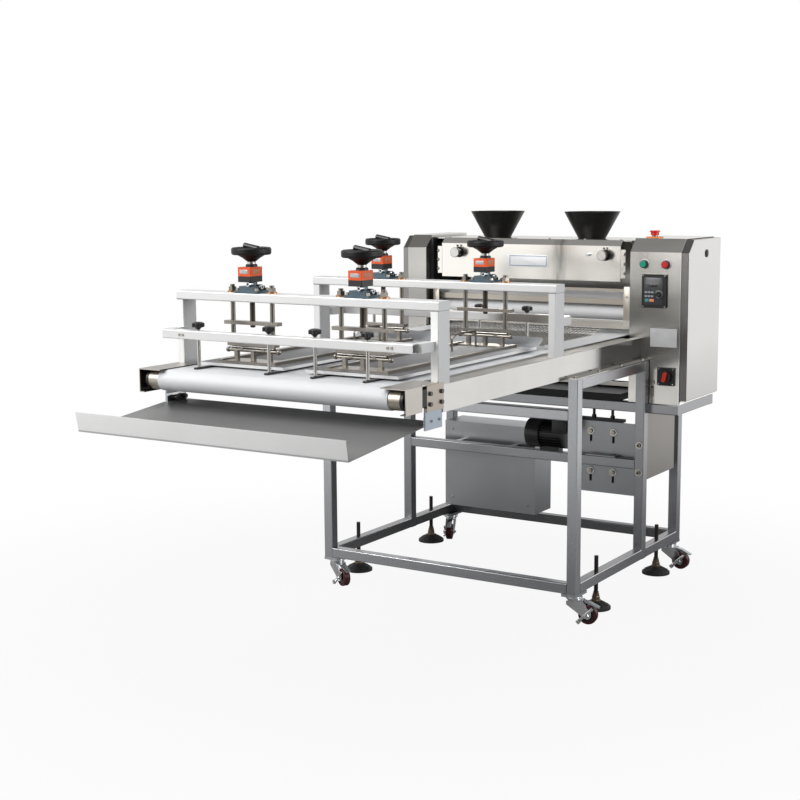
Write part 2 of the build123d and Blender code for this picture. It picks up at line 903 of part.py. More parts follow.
# Two bridges over the belt: posts and beams of rectangular tube
bridge_pieces = []
for y in bridge_y.values():
    y0, y1 = y - post_d / 2, y + post_d / 2
    for sign in sides.values():
        x0 = middle + sign * (channel_half - post_w / 2) - post_w / 2
        bridge_pieces.append(tube_piece(x0, x0 + post_w, y0, y1, channel_top, beam_z, "Z"))
    with BuildPart() as beam:
        block(middle - channel_half, middle + channel_half, y0, y1, beam_z, bridge_top)
        fillet(beam.edges().filter_by(Axis.X), radius=tube_corner)
        block(
            middle - channel_half + tube_wall, middle + channel_half - tube_wall,
            y0 + tube_wall, y1 - tube_wall, beam_z + tube_wall, bridge_top - tube_wall,
            mode=Mode.SUBTRACT,
        )
        for x in lane_x.values():
            rod_z(x, y, beam_z, bridge_top, screw_r + hinge_gap, mode=Mode.SUBTRACT)
            for step in (-rod_half, rod_half):
                rod_z(x + step, y, beam_z, bridge_top, bushing_r, mode=Mode.SUBTRACT)
    bridge_pieces.append(beam.part)
save_group(bridge_pieces, "bridges")

# Jack castings and position indicators on the beams
casting_pieces = []
indicator_pieces = []
for y in bridge_y.values():
    for x in lane_x.values():
        with BuildPart() as casting:
            z = bridge_top
            block(x - flange_w / 2, x + flange_w / 2, y - post_d / 2, y + post_d / 2, z, z + flange_t)
            half = casting_w / 2
            block(x - half, x + half, y - half, y + half, z + flange_t, z + flange_t + casting_h)
            rod_z(x, y, z + flange_t + casting_h, casting_top, neck_r)
            rod_z(x, y, z, casting_top, screw_r + running, mode=Mode.SUBTRACT)
        casting_pieces.append(casting.part)
        z = casting_top
        for height in (indicator_base_h, indicator_top_h):
            with BuildPart() as indicator:
                block(
                    x - indicator_w / 2, x + indicator_w / 2,
                    y + indicator_back - indicator_d, y + indicator_back, z, z + height,
                )
                fillet(indicator.edges().filter_by(Axis.Z), radius=rim_w / 6)
                rod_z(x, y, z, z + height, screw_r + clear, mode=Mode.SUBTRACT)
            indicator_pieces.append(indicator.part)
            z += height
save_group(casting_pieces + indicator_pieces, "jack_units")

# Handwheels with their lead screws, and the grips that fold into them
rim_z = hub_z + hub_h
handle_z = rim_z + rim_h - handle_drop
eye_half = handle_eye_w / 2
for end, y in bridge_y.items():
    for side, x in lane_x.items():
        pivot_x = x + handle_pivot
        with BuildPart() as wheel:
            turned(
                x, y,
                (0, hub_z),
                (collar_r, hub_z),
                (wheel_rim_r * 0.45, hub_z + hub_h * 0.55),
                (wheel_rim_r * 0.72, rim_z),
                (wheel_rim_r, rim_z),
                (wheel_rim_r, rim_z + rim_h),
                (wheel_rim_r - rim_w, rim_z + rim_h),
                (wheel_rim_r - rim_w, rim_z + rim_h * 0.4),
                (collar_r * 1.4, rim_z),
                (0, rim_z),
            )
            rim_edges = wheel.edges().filter_by(GeomType.CIRCLE).group_by(SortBy.RADIUS)[-1]
            fillet(rim_edges, radius=rim_h * 0.3)
            for sign in sides.values():
                ear_in = y + sign * (eye_half + clear)
                block(
                    pivot_x - handle_eye_r, pivot_x + handle_eye_r, ear_in, ear_in + sign * ear_t,
                    rim_z, handle_z + handle_eye_r,
                )
            ear_out = eye_half + clear + ear_t
            rod_y(pivot_x, y - ear_out, y + ear_out, handle_z, handle_pin_r)
        with BuildPart() as screw:
            rod_z(x, y, screw_end, hub_z - collar_h, screw_r)
            rod_z(x, y, hub_z - collar_h, hub_z, collar_r)
            chamfer(screw.edges().sort_by(Axis.Z)[0], length=screw_r * 0.3)
        save_group([wheel.part, screw.part], f"handwheel_{end}_{side}")

        lean = math.radians(handle_tilt)
        inward = (-math.cos(lean), 0, math.sin(lean))
        along_grip = Plane((pivot_x, y, handle_z), x_dir=(0, 1, 0), z_dir=inward)
        with BuildPart() as grip:
            rod_y(pivot_x, y - eye_half, y + eye_half, handle_z, handle_eye_r)
            with BuildSketch(along_grip):
                Circle(handle_eye_r * 0.8)
            extrude(amount=handle_l / 2)
            with BuildSketch(along_grip.offset(handle_l * 0.17)):
                Circle(handle_r)
            extrude(amount=handle_l * 0.83)
            tip = grip.edges().filter_by(GeomType.CIRCLE).sort_by(Axis.X)[0]
            fillet(tip, radius=handle_r * 0.4)
            rod_y(
                pivot_x, y - eye_half, y + eye_half, handle_z, handle_pin_r + running, mode=Mode.SUBTRACT
            )
        save(grip.part, f"fold_grip_{end}_{side}")

# Pressing boards with the carriages that hang them from the jacks
flange_top = bridge_top + bushing_flange_t
for side, x in lane_x.items():
    pieces = []
    with BuildPart() as board:
        with BuildSketch(across(x)):
            outline(
                (front - board_front, board_z),
                (front - board_bend, board_z),
                (front + board_tail, board_z + board_rise),
                (front + board_tail, board_z + board_rise + board_t),
                (front - board_bend, board_top),
                (front - board_front, board_top),
            )
        extrude(amount=board_half, both=True)
    pieces.append(board.part)
    stiffener_x = foot_bar_half + stiffener_w / 2 + gap
    for sign in sides.values():
        with BuildPart() as stiffener:
            xs = x + sign * stiffener_x
            block(
                xs - stiffener_w / 2, xs + stiffener_w / 2,
                bridge_y["front"] - clamp_plate_d / 2, bridge_y["rear"] + clamp_plate_d / 4,
                board_top, board_top + stiffener_h,
            )
        pieces.append(stiffener.part)
    bail_x = x - sides[side] * bail_in
    with BuildPart() as bail:
        with BuildLine() as bail_line:
            FilletPolyline(
                (bail_x, front - bail_front, board_top),
                (bail_x, front - bail_front, board_top + bail_h),
                (bail_x, front - bail_rear, board_top + bail_h),
                (bail_x, front - bail_rear, board_top),
                radius=4 * bail_r,
            )
        with BuildSketch(Plane((bail_x, front - bail_front, board_top))):
            Circle(bail_r)
        sweep(path=bail_line.line)
    pieces.append(bail.part)
    for y in bridge_y.values():
        for step in (-rod_half, rod_half):
            with BuildPart() as guide_rod:
                rod_z(x + step, y, foot_bar_z + foot_bar_h, cross_z, rod_r)
            pieces.append(guide_rod.part)
            with BuildPart() as upper_rod:
                nut_z = flange_top + clear
                rod_z(x + step, y, cross_z + cross_h, nut_z + rod_nut_h + rod_r, rod_r)
                hex_head(Plane((x + step, y, nut_z)), [(0, 0)], 3 * rod_r, rod_nut_h)
            pieces.append(upper_rod.part)
        with BuildPart() as cross_plate:
            block(
                x - cross_half, x + cross_half, y - cross_d / 2, y + cross_d / 2, cross_z, cross_z + cross_h
            )
            rod_z(x, y, cross_z, cross_z + cross_h, screw_r + clear, mode=Mode.SUBTRACT)
        pieces.append(cross_plate.part)
        with BuildPart() as clamp:
            half = foot_bar_half
            block(
                x - half, x + half, y - cross_d / 2, y + cross_d / 2, foot_bar_z, foot_bar_z + foot_bar_h
            )
            block(
                x - half, x + half, y - clamp_plate_d / 2, y + clamp_plate_d / 2,
                board_top, board_top + clamp_plate_t,
            )
            rod_x(x - half - pivot_r, x + half + pivot_r, y, pivot_z, pivot_r)
            with Locations((x - half - pivot_r, y, pivot_z), (x + half + pivot_r, y, pivot_z)):
                Sphere(pivot_r * 1.5)
            for step in (-0.7, 0, 0.7):
                lug = x + step * half
                block(lug - lug_w / 2, lug + lug_w / 2, y - lug_w / 2, y + lug_w / 2, board_top, pivot_z)
            for step in (-0.45, 0.45):
                lug = x + step * half
                block(lug - lug_w / 2, lug + lug_w / 2, y - lug_w / 2, y + lug_w / 2, pivot_z, foot_bar_z)
        pieces.append(clamp.part)
    save_group(pieces, f"press_board_{side}")

# Guide tubes with their slots, and the arms that hold them on the posts
tube_pieces = []
for end, y in guide_y.items():
    with BuildPart() as guide_tube_part:
        half = guide_tube / 2
        block(middle - guide_half, middle + guide_half, y - half, y + half, guide_z, guide_z + guide_tube)
        fillet(guide_tube_part.edges().filter_by(Axis.X), radius=guide_tube_corner)
        inner = half - guide_tube_wall
        block(
            middle - guide_half, middle + guide_half, y - inner, y + inner,
            guide_z + guide_tube_wall, guide_z + guide_tube - guide_tube_wall, mode=Mode.SUBTRACT,
        )
        for name, x in guide_x.items():
            low, high = guide_travel[name]
            reach = guide_neck_r + gap
            block(
                middle + x + low - reach, middle + x + high + reach, y - reach, y + reach,
                guide_z, guide_z + guide_tube, mode=Mode.SUBTRACT,
            )
    tube_pieces.append(guide_tube_part.part)
    post_face = bridge_y[end] + (-post_d / 2 if end == "front" else post_d / 2)
    tube_face = y + (half if end == "front" else -half)
    for sign in sides.values():
        with BuildPart() as arm:
            x0 = middle + sign * arm_in
            block(x0, x0 + sign * arm_w, tube_face, post_face, guide_z, guide_z + guide_tube)
            x1 = middle + sign * (guide_screw_x - guide_tube / 2)
            block(x1, x0, tube_face, tube_face + (post_face - tube_face) / 10, guide_z, guide_z + guide_tube)
        tube_pieces.append(arm.part)
save_group(tube_pieces, "guide_tubes")

# Lane guides: a strip close over the belt on two rods, each clamped by a star knob
strip_z = belt_top + gap
strip_top = strip_z + guide_bar_h
for name, offset in guide_x.items():
    x = middle + offset
    pieces = []
    with BuildPart() as strip:
        half = guide_bar_w / 2
        block(
            x - half, x + half, guide_y["front"] - guide_reach, guide_y["rear"] + guide_reach,
            strip_z, strip_top,
        )
    pieces.append(strip.part)
    for y in guide_y.values():
        with BuildPart() as guide_rod:
            rod_z(x, y, strip_top, guide_z - clear, guide_rod_r)
            rod_z(x, y, guide_z - clear, guide_z + guide_tube + guide_stem_h, guide_neck_r)
        pieces.append(guide_rod.part)
        knob_z = guide_z + guide_tube + guide_stem_h
        with BuildPart() as star_knob:
            with BuildSketch(Plane((x, y, knob_z))):
                Circle(guide_knob_r * 0.78)
                with PolarLocations(guide_knob_r * 0.72, 6):
                    Circle(guide_knob_r * 0.28)
            extrude(amount=guide_knob_h)
            fillet(star_knob.faces().sort_by(Axis.Z)[-1].edges(), radius=guide_knob_h * 0.15)
        pieces.append(star_knob.part)
    save_group(pieces, f"lane_guide_{name}")

# Side housings: plates welded to a shell with a sloped top edge, open on the cover side
def housing_points(inset, low):
    """The housing's side outline, drawn in by an inset, from a lower edge."""
    y0 = front + housing_front + inset
    y1 = front + housing_back - inset
    top = housing_top - inset
    slope = housing_chamfer - inset * 0.4
    return ((y0, low), (y1, low), (y1, top), (y0 + slope, top), (y0, top - slope))


housing_pieces = []
for side, width in (("left", housing_left), ("right", housing_right)):
    sign = sides[side]
    x_in = middle + sign * housing_in
    x_skin = x_in + sign * housing_t
    x_out = middle + sign * width
    outer = housing_points(0, shelf_top)
    inner = housing_points(housing_t, shelf_top + housing_t)
    with BuildPart() as side_plate:
        with BuildSketch(across(x_in)):
            outline(*outer)
        extrude(amount=x_skin - x_in)
    housing_pieces.append(side_plate.part)
    for number, name in enumerate(("floor", "rear", "top", "slope", "face")):
        following = (number + 1) % len(outer)
        with BuildPart() as panel:
            with BuildSketch(across(x_skin)):
                outline(outer[number], outer[following], inner[following], inner[number])
            extrude(amount=x_out - x_skin)
            if side == "right" and name == "face":
                for x in (start_x, stop_x):
                    rod_y(
                        middle + x, face_y, face_y + housing_t, button_z, button_r + clear,
                        mode=Mode.SUBTRACT,
                    )
            if side == "right" and name == "top":
                y = face_y + stop_head_back + housing_chamfer
                rod_z(
                    middle + stop_head_x, y, housing_top - housing_t, housing_top,
                    stop_head_r * 0.55 + clear, mode=Mode.SUBTRACT,
                )
        housing_pieces.append(panel.part)
    ledge_out = middle + sign * ((cover_out_right if side == "right" else cover_out_left) - sheet_t)
    ledge_z = shelf_top + cover_sill - clear
    ledge_y0, ledge_y1 = face_y + 3 * cover_inset, front + housing_back - 3 * cover_inset
    with BuildPart() as ledge:
        block(x_out - sign * housing_t, ledge_out, ledge_y0, ledge_y1, ledge_z - ledge_h, ledge_z)
        block(x_out - sign * housing_t, x_out, ledge_y0, ledge_y1, shelf_top + housing_t, ledge_z)
    housing_pieces.append(ledge.part)
save_group(housing_pieces, "housings")

# Housing covers: shallow pans that stand on the ledge and tilt out at the foot
for side, width, out in (
    ("left", housing_left, cover_out_left),
    ("right", housing_right, cover_out_right),
):
    sign = sides[side]
    x_in = middle + sign * (width + gap)
    x_out = middle + sign * out
    with BuildPart() as cover:
        with BuildSketch(across(x_in)):
            outline(*housing_points(cover_inset, shelf_top + cover_sill))
        extrude(amount=x_out - x_in)
        edges = cover.faces().sort_by(Axis.X)[-1 if sign > 0 else 0].edges()
        fillet(edges, radius=sheet_t)
        with BuildSketch(across(x_in)):
            outline(*housing_points(cover_inset + housing_t, shelf_top + cover_sill + housing_t))
        extrude(amount=x_out - x_in - sign * sheet_t, mode=Mode.SUBTRACT)
        lock_y = front + (housing_front + housing_back) / 2 + lock_back
        lock_z = housing_top - lock_drop
        if side == "right":
            rod_x(x_in, x_out, lock_y, lock_z, lock_shaft_r + clear, mode=Mode.SUBTRACT)
    save(cover.part, f"housing_cover_{side}")

# Quarter-turn lock of the right cover
cover_face = middle + cover_out_right
with BuildPart() as lock:
    rod_x(cover_face - 2 * sheet_t - clear, cover_face + clear, lock_y, lock_z, lock_shaft_r)
    rod_x(cover_face + clear, cover_face + lock_proud / 2, lock_y, lock_z, lock_r)
    with BuildSketch(across(cover_face + lock_proud / 2)):
        with Locations((lock_y, lock_z)):
            SlotOverall(1.5 * lock_r, lock_r / 2, rotation=90)
    extrude(amount=lock_proud / 2)
    with BuildSketch(across(cover_face - sheet_t - clear)):
        with Locations((lock_y, lock_z - lock_shaft_r)):
            Rectangle(1.4 * lock_shaft_r, lock_tongue_l)
    extrude(amount=-sheet_t)
save(lock.part, "cover_lock")

# Fixed control pieces: bezels, drive panel, data plate, isolator plate and stop ring
panel_pieces = []
for x in (start_x, stop_x):
    with BuildPart() as bezel:
        rod_y(middle + x, face_y - bezel_h, face_y, button_z, bezel_r)
        rod_y(middle + x, face_y - bezel_h, face_y, button_z, button_r + clear, mode=Mode.SUBTRACT)
        fillet(bezel.edges().group_by(Axis.Y)[0], radius=(bezel_r - button_r) / 4)
    panel_pieces.append(bezel.part)
with BuildPart() as drive_panel:
    x, z = middle + drive_panel_x, drive_panel_z
    block(
        x - drive_panel_w / 2, x + drive_panel_w / 2, face_y - drive_panel_t, face_y,
        z - drive_panel_h / 2, z + drive_panel_h / 2,
    )
    fillet(drive_panel.edges().filter_by(Axis.Y), radius=drive_panel_t / 3)
    rod_y(
        middle + speed_knob_x, face_y - drive_panel_t, face_y - 2 * housing_t, speed_knob_z,
        axle_r + running, mode=Mode.SUBTRACT,
    )
panel_pieces.append(drive_panel.part)
with BuildPart() as data_plate:
    x, z = middle + plate_x, plate_z
    block(
        x - data_plate_w / 2, x + data_plate_w / 2, face_y - data_plate_t, face_y,
        z - data_plate_h / 2, z + data_plate_h / 2,
    )
panel_pieces.append(data_plate.part)
with BuildPart() as isolator_plate:
    x, z = middle + isolator_x, isolator_z
    half = isolator_w / 2
    block(x - half, x + half, face_y - isolator_t, face_y, z - half, z + half)
    fillet(isolator_plate.edges().filter_by(Axis.Y), radius=isolator_t / 3)
    rod_y(
        x, face_y - isolator_t, face_y - housing_t, z, axle_r + running, mode=Mode.SUBTRACT
    )
panel_pieces.append(isolator_plate.part)
stop_x_head = middle + stop_head_x
stop_y = face_y + stop_head_back + housing_chamfer
stop_stem_r = stop_head_r * 0.55
with BuildPart() as stop_ring:
    rod_z(stop_x_head, stop_y, housing_top, housing_top + stop_ring_h, stop_ring_r)
    rod_z(
        stop_x_head, stop_y, housing_top, housing_top + stop_ring_h, stop_stem_r + clear, mode=Mode.SUBTRACT
    )
panel_pieces.append(stop_ring.part)
with BuildPart() as earth_plate:
    with BuildSketch(facing(middle + earth_x, face_y)):
        with Locations((0, earth_z + earth_h / 2)):
            SlotOverall(earth_h, earth_w, rotation=90)
            SlotOverall(earth_h / 2, earth_w / 3, rotation=90, mode=Mode.SUBTRACT)
    extrude(amount=earth_t)
panel_pieces.append(earth_plate.part)
save_group(panel_pieces, "control_plates")

# Push buttons, stop head, speed knob and isolator handle
for name, x in (("start_button", start_x), ("stop_button", stop_x)):
    with BuildPart() as button:
        rod_y(middle + x, face_y - bezel_h - button_proud, face_y + bezel_h, button_z, button_r)
        fillet(button.edges().group_by(Axis.Y)[0], radius=button_proud / 4)
    save(button.part, name)

with BuildPart() as stop_head:
    head_z = housing_top + stop_stem_h
    turned(
        stop_x_head, stop_y,
        (0, housing_top - stop_head_h),
        (stop_stem_r, housing_top - stop_head_h),
        (stop_stem_r, head_z),
        (stop_skirt_r, head_z),
        (stop_skirt_r, head_z + stop_head_h * 0.6),
        (stop_head_r, head_z + stop_head_h * 0.7),
        (stop_head_r, head_z + stop_head_h * 0.92),
        (stop_head_r * 0.85, head_z + stop_head_h),
        (0, head_z + stop_head_h),
    )
save(stop_head.part, "emergency_stop")

with BuildPart() as speed_knob:
    x, z = middle + speed_knob_x, speed_knob_z
    knob_y = face_y - drive_panel_t - clear
    rod_y(x, knob_y - speed_knob_h, knob_y, z, speed_knob_r)
    rod_y(x, knob_y, face_y - 3 * housing_t, z, axle_r)
    fillet(speed_knob.edges().group_by(Axis.Y)[0], radius=speed_knob_h / 8)
    block(
        x - housing_t / 2, x + housing_t / 2, knob_y - speed_knob_h, knob_y - speed_knob_h + housing_t,
        z, z + speed_knob_r, mode=Mode.SUBTRACT,
    )
save(speed_knob.part, "speed_knob")

with BuildPart() as isolator:
    x, z = middle + isolator_x, isolator_z
    knob_y = face_y - isolator_t - clear
    rod_y(x, knob_y - isolator_h / 2, knob_y, z, isolator_r)
    with BuildSketch(facing(x, knob_y)):
        with Locations((0, z)):
            SlotOverall(isolator_grip_l, isolator_grip_w, rotation=90 - isolator_lean)
    extrude(amount=isolator_h)
    rod_y(x, knob_y, face_y - 2 * housing_t, z, axle_r)
save(isolator.part, "isolator_handle")

# Sheeting head: end plates, top plate with the funnel holes, and rear plate
head_pieces = []
end_y0, end_y1 = front + end_plate_front, front + end_plate_back
roller_places = {
    "lower": (front + sheet_roller_back, lower_roller_z, lower_roller_r),
    "upper": (front + sheet_roller_back, upper_roller_z, upper_roller_r),
}
for sign in sides.values():
    with BuildPart() as end_plate:
        x0, x1 = middle + sign * end_in, middle + sign * housing_in
        block(x0, x1, end_y0, end_y1, end_plate_z, head_top)
        for y, z, _ in roller_places.values():
            rod_x(x0, x1, y, z, sheet_journal_r + running, mode=Mode.SUBTRACT)
        rod_x(x0, x1, drive_y, roller_z, journal_r + running, mode=Mode.SUBTRACT)
    head_pieces.append(end_plate.part)
with BuildPart() as top_plate:
    block(
        middle - end_in, middle + end_in, front + slope_back, end_y1, head_top - top_plate_t, head_top
    )
    for x in lane_x.values():
        rod_z(
            x, front + funnel_back, head_top - top_plate_t, head_top, funnel_foot_r - funnel_t,
            mode=Mode.SUBTRACT,
        )
head_pieces.append(top_plate.part)
with BuildPart() as rear_plate:
    block(
        middle - end_in, middle + end_in, end_y1 - top_plate_t, end_y1,
        belt_top + belt_r, head_top - top_plate_t,
    )
head_pieces.append(rear_plate.part)
save_group(head_pieces, "head_frame")

# Front cover of the head with its sloped strip and notched end brackets
knob_places = {"left": middle + gap_knob_left, "right": middle + gap_knob_right}
with BuildPart() as head_cover:
    y0 = front + cover_front
    y1 = front + slope_back
    with BuildSketch(across(middle)):
        outline(
            (y0, cover_bottom),
            (y1, cover_bottom),
            (y1, cover_bottom + sheet_t),
            (y0 + sheet_t, cover_bottom + sheet_t),
            (y0 + sheet_t, cover_top - sheet_t * 0.4),
            (y1, head_top - 1.5 * sheet_t),
            (y1, head_top),
            (y0, cover_top),
        )
    extrude(amount=cover_half, both=True)
    for sign in sides.values():
        edge = middle + sign * cover_half
        z0 = (cover_bottom + cover_top - bracket_h) / 2
        block(edge, edge + sign * bracket_w, y0, y0 + sheet_t, z0, z0 + bracket_h)
        for n in range(3):
            notch = z0 + bracket_h * (n + 0.5) / 3
            block(
                edge + sign * (bracket_w - notch_d), edge + sign * bracket_w, y0, y0 + sheet_t,
                notch - notch_h / 2, notch + notch_h / 2, mode=Mode.SUBTRACT,
            )
    for x in knob_places.values():
        rod_y(x, y0, y0 + sheet_t, gap_knob_z, gap_knob_stem + running, mode=Mode.SUBTRACT)
    rod_y(middle + plunger_x, y0, y0 + sheet_t, gap_knob_z, plunger_r * 0.6 + running, mode=Mode.SUBTRACT)
save(head_cover.part, "head_cover")

# Roller gap knobs and the index plunger
for side, x in knob_places.items():
    with BuildPart() as gap_knob:
        y0 = front + cover_front - hinge_gap
        y_face = y0 - gap_knob_l
        rod_y(x, y_face, y_face + gap_knob_t, gap_knob_z, gap_knob_r)
        fillet(gap_knob.edges().group_by(Axis.Y)[0], radius=gap_knob_t / 8)
        rod_y(x, y_face + gap_knob_t, front + cover_front + 4 * sheet_t, gap_knob_z, gap_knob_stem)
        y_pin = (y_face + gap_knob_t + y0) / 2
        rod_z(x, y_pin, gap_knob_z, gap_knob_z + gap_pin_out, gap_pin_r / 2)
        rod_y(x, y_pin - gap_pin_r, y_pin + gap_pin_r, gap_knob_z + gap_pin_out, gap_pin_r)
    save(gap_knob.part, f"gap_knob_{side}")

with BuildPart() as plunger:
    x = middle + plunger_x
    y0 = front + cover_front - hinge_gap
    rod_y(x, y0 - 3 * plunger_r, y0, gap_knob_z, plunger_r)
    rod_y(x, y0, front + cover_front + 4 * sheet_t, gap_knob_z, plunger_r * 0.6)
save(plunger.part, "index_plunger")

# Sheeting rollers between the end plates
for name, (y, z, radius) in roller_places.items():
    with BuildPart() as sheeting_roller:
        half = end_in - 2 * hinge_gap
        rod_x(middle - half, middle + half, y, z, radius)
        shaft_end = housing_in - gap
        rod_x(middle - shaft_end, middle + shaft_end, y, z, sheet_journal_r)
    save(sheeting_roller.part, f"sheeting_roller_{name}")

# Scraper and clamp bars between the end plates
with BuildPart() as bars:
    for back, depth, up, height in bar_rows:
        y = face_y + back
        z = belt_top + up
        block(middle - end_in, middle + end_in, y, y + depth, z, z + height)
save(bars.part, "scraper_bars")

# Curling mat, hung from the lowest clamp bar and trailing on the belt
mat_bar = bar_rows[3]
mat_hang = face_y + mat_bar[0]
mat_z = belt_top + gap
mat_top = belt_top + mat_bar[2] + 2 * mat_t
with BuildPart() as mat:
    with BuildSketch(across(middle)):
        outline(
            (front + mat_front, mat_z),
            (front + mat_bend, mat_z),
            (mat_hang, mat_top - mat_t),
            (mat_hang, mat_top),
            (front + mat_bend, mat_z + mat_t),
            (front + mat_front, mat_z + mat_t),
        )
    extrude(amount=mat_half, both=True)
save(mat.part, "curling_mat")

# Two feed funnels on the head's top plate
with BuildPart() as funnels:
    for x in lane_x.values():
        turned(
            x, front + funnel_back,
            (funnel_foot_r - funnel_t, head_top),
            (funnel_foot_r, head_top),
            (funnel_mouth_r, head_top + funnel_h),
            (funnel_mouth_r - funnel_t, head_top + funnel_h),
        )
save(funnels.part, "funnels")

# Drive motor on its foot, on the middle cross rail
box_pieces = []
with BuildPart() as motor:
    y = row_y[1] + tube / 2
    foot_top = mid_rail_z + tube + motor_foot_h
    z = foot_top + motor_r
    x0, x1 = middle + motor_left, middle + motor_right
    rod_x(x0, x1, y, z, motor_r - motor_fin)
    cap = (x1 - x0) / 5
    rod_x(x0, x0 + cap, y, z, motor_r)
    rod_x(x1 - cap / 3, x1, y, z, motor_r)
    with BuildSketch(across(x0 + cap)):
        with Locations((y, z)):
            with PolarLocations(motor_r - motor_fin, motor_fins):
                Rectangle(2 * motor_fin, motor_fin / 4)
    extrude(amount=x1 - cap / 3 - x0 - cap)
    block(
        x0 + 1.5 * cap, x1 - cap, y - tube / 2, y + tube / 2, mid_rail_z + tube, z - motor_r / 2
    )
box_pieces.append(motor.part)

# Electrical box with its lid and straps, motor plate with its adjuster, and drive guard
rail_back = row_y[1] + tube
box_y = rail_back + box_back
x0, x1 = middle + box_left, middle + box_right
with BuildPart() as electrical_box:
    block(x0, x1, box_y + box_lid_t, box_y + box_d, box_z, box_z + box_h)
    block(
        x0 + housing_t, x1 - housing_t, box_y + box_lid_t, box_y + box_d - housing_t,
        box_z + housing_t, box_z + box_h - housing_t, mode=Mode.SUBTRACT,
    )
box_pieces.append(electrical_box.part)
with BuildPart() as box_lid:
    block(x0, x1, box_y, box_y + box_lid_t, box_z, box_z + box_h)
box_pieces.append(box_lid.part)
for step in (0.2, 0.8):
    with BuildPart() as box_strap:
        x = x0 + step * (x1 - x0)
        half = box_strap_w / 2
        block(x - half, x + half, rail_back, box_y, mid_rail_z + tube_wall, mid_rail_z + tube - tube_wall)
    box_pieces.append(box_strap.part)
plate_x0, plate_x1 = middle + motor_plate_left, middle + motor_plate_right
plate_top = motor_plate_z + motor_plate_h
motor_bolts = [
    (plate_x0 + across_x * (plate_x1 - plate_x0), motor_plate_z + up * motor_plate_h)
    for across_x in (0.25, 0.62)
    for up in (0.3, 0.86)
]
with BuildPart() as motor_plate:
    block(plate_x0, plate_x1, rail_back, rail_back + motor_plate_t, motor_plate_z, plate_top)
    for x, z in motor_bolts:
        block(
            x - slot_w / 2, x + slot_w / 2, rail_back, rail_back + motor_plate_t,
            z - slot_l, z, mode=Mode.SUBTRACT,
        )
box_pieces.append(motor_plate.part)
with BuildPart() as adjuster:
    block(
        plate_x0, middle + adjuster_right, rail_back, rail_back + adjuster_d,
        plate_top, plate_top + adjuster_h,
    )
    for step in (0.35, 0.75):
        x = plate_x0 + step * (middle + adjuster_right - plate_x0)
        y = rail_back + adjuster_d / 2
        rod_z(x, y, plate_top + adjuster_h, shelf_z, stud_r)
        hex_head(Plane((x, y, plate_top + adjuster_h)), [(0, 0)], 3 * stud_r, adjuster_h)
box_pieces.append(adjuster.part)
with BuildPart() as guard_box:
    x1 = middle + leg_out - tube_wall
    y1 = rail_back + guard_box_d
    block(x1 - guard_box_w, x1, rail_back, y1, guard_box_z, shelf_z)
    block(
        x1 - guard_box_w + housing_t, x1 - housing_t, rail_back + housing_t, y1 - housing_t,
        guard_box_z, shelf_z - housing_t, mode=Mode.SUBTRACT,
    )
box_pieces.append(guard_box.part)
rail_plate_x = middle + rail_plate_left
rail_plate_top = mid_rail_z + tube + rail_plate_t
with BuildPart() as rail_plate:
    block(
        rail_plate_x, rail_plate_x + rail_plate_w, row_y[1] + tube_wall, rail_back - tube_wall,
        mid_rail_z + tube, rail_plate_top,
    )
box_pieces.append(rail_plate.part)
save_group(box_pieces, "drive_units")

# Crumb tray that rests on the shelf rails and slides out to the rear
with BuildPart() as crumb_tray:
    x0, x1 = middle - crumb_half, middle + crumb_half
    y0, y1 = front + crumb_front, front + crumb_back
    z = shelf_top + clear
    block(x0, x1, y0, y1, z, z + crumb_h)
    block(
        x0 + tray_t, x1 - tray_t, y0 + tray_t, y1 - tray_t, z + tray_t, z + crumb_h, mode=Mode.SUBTRACT
    )
save(crumb_tray.part, "crumb_tray")

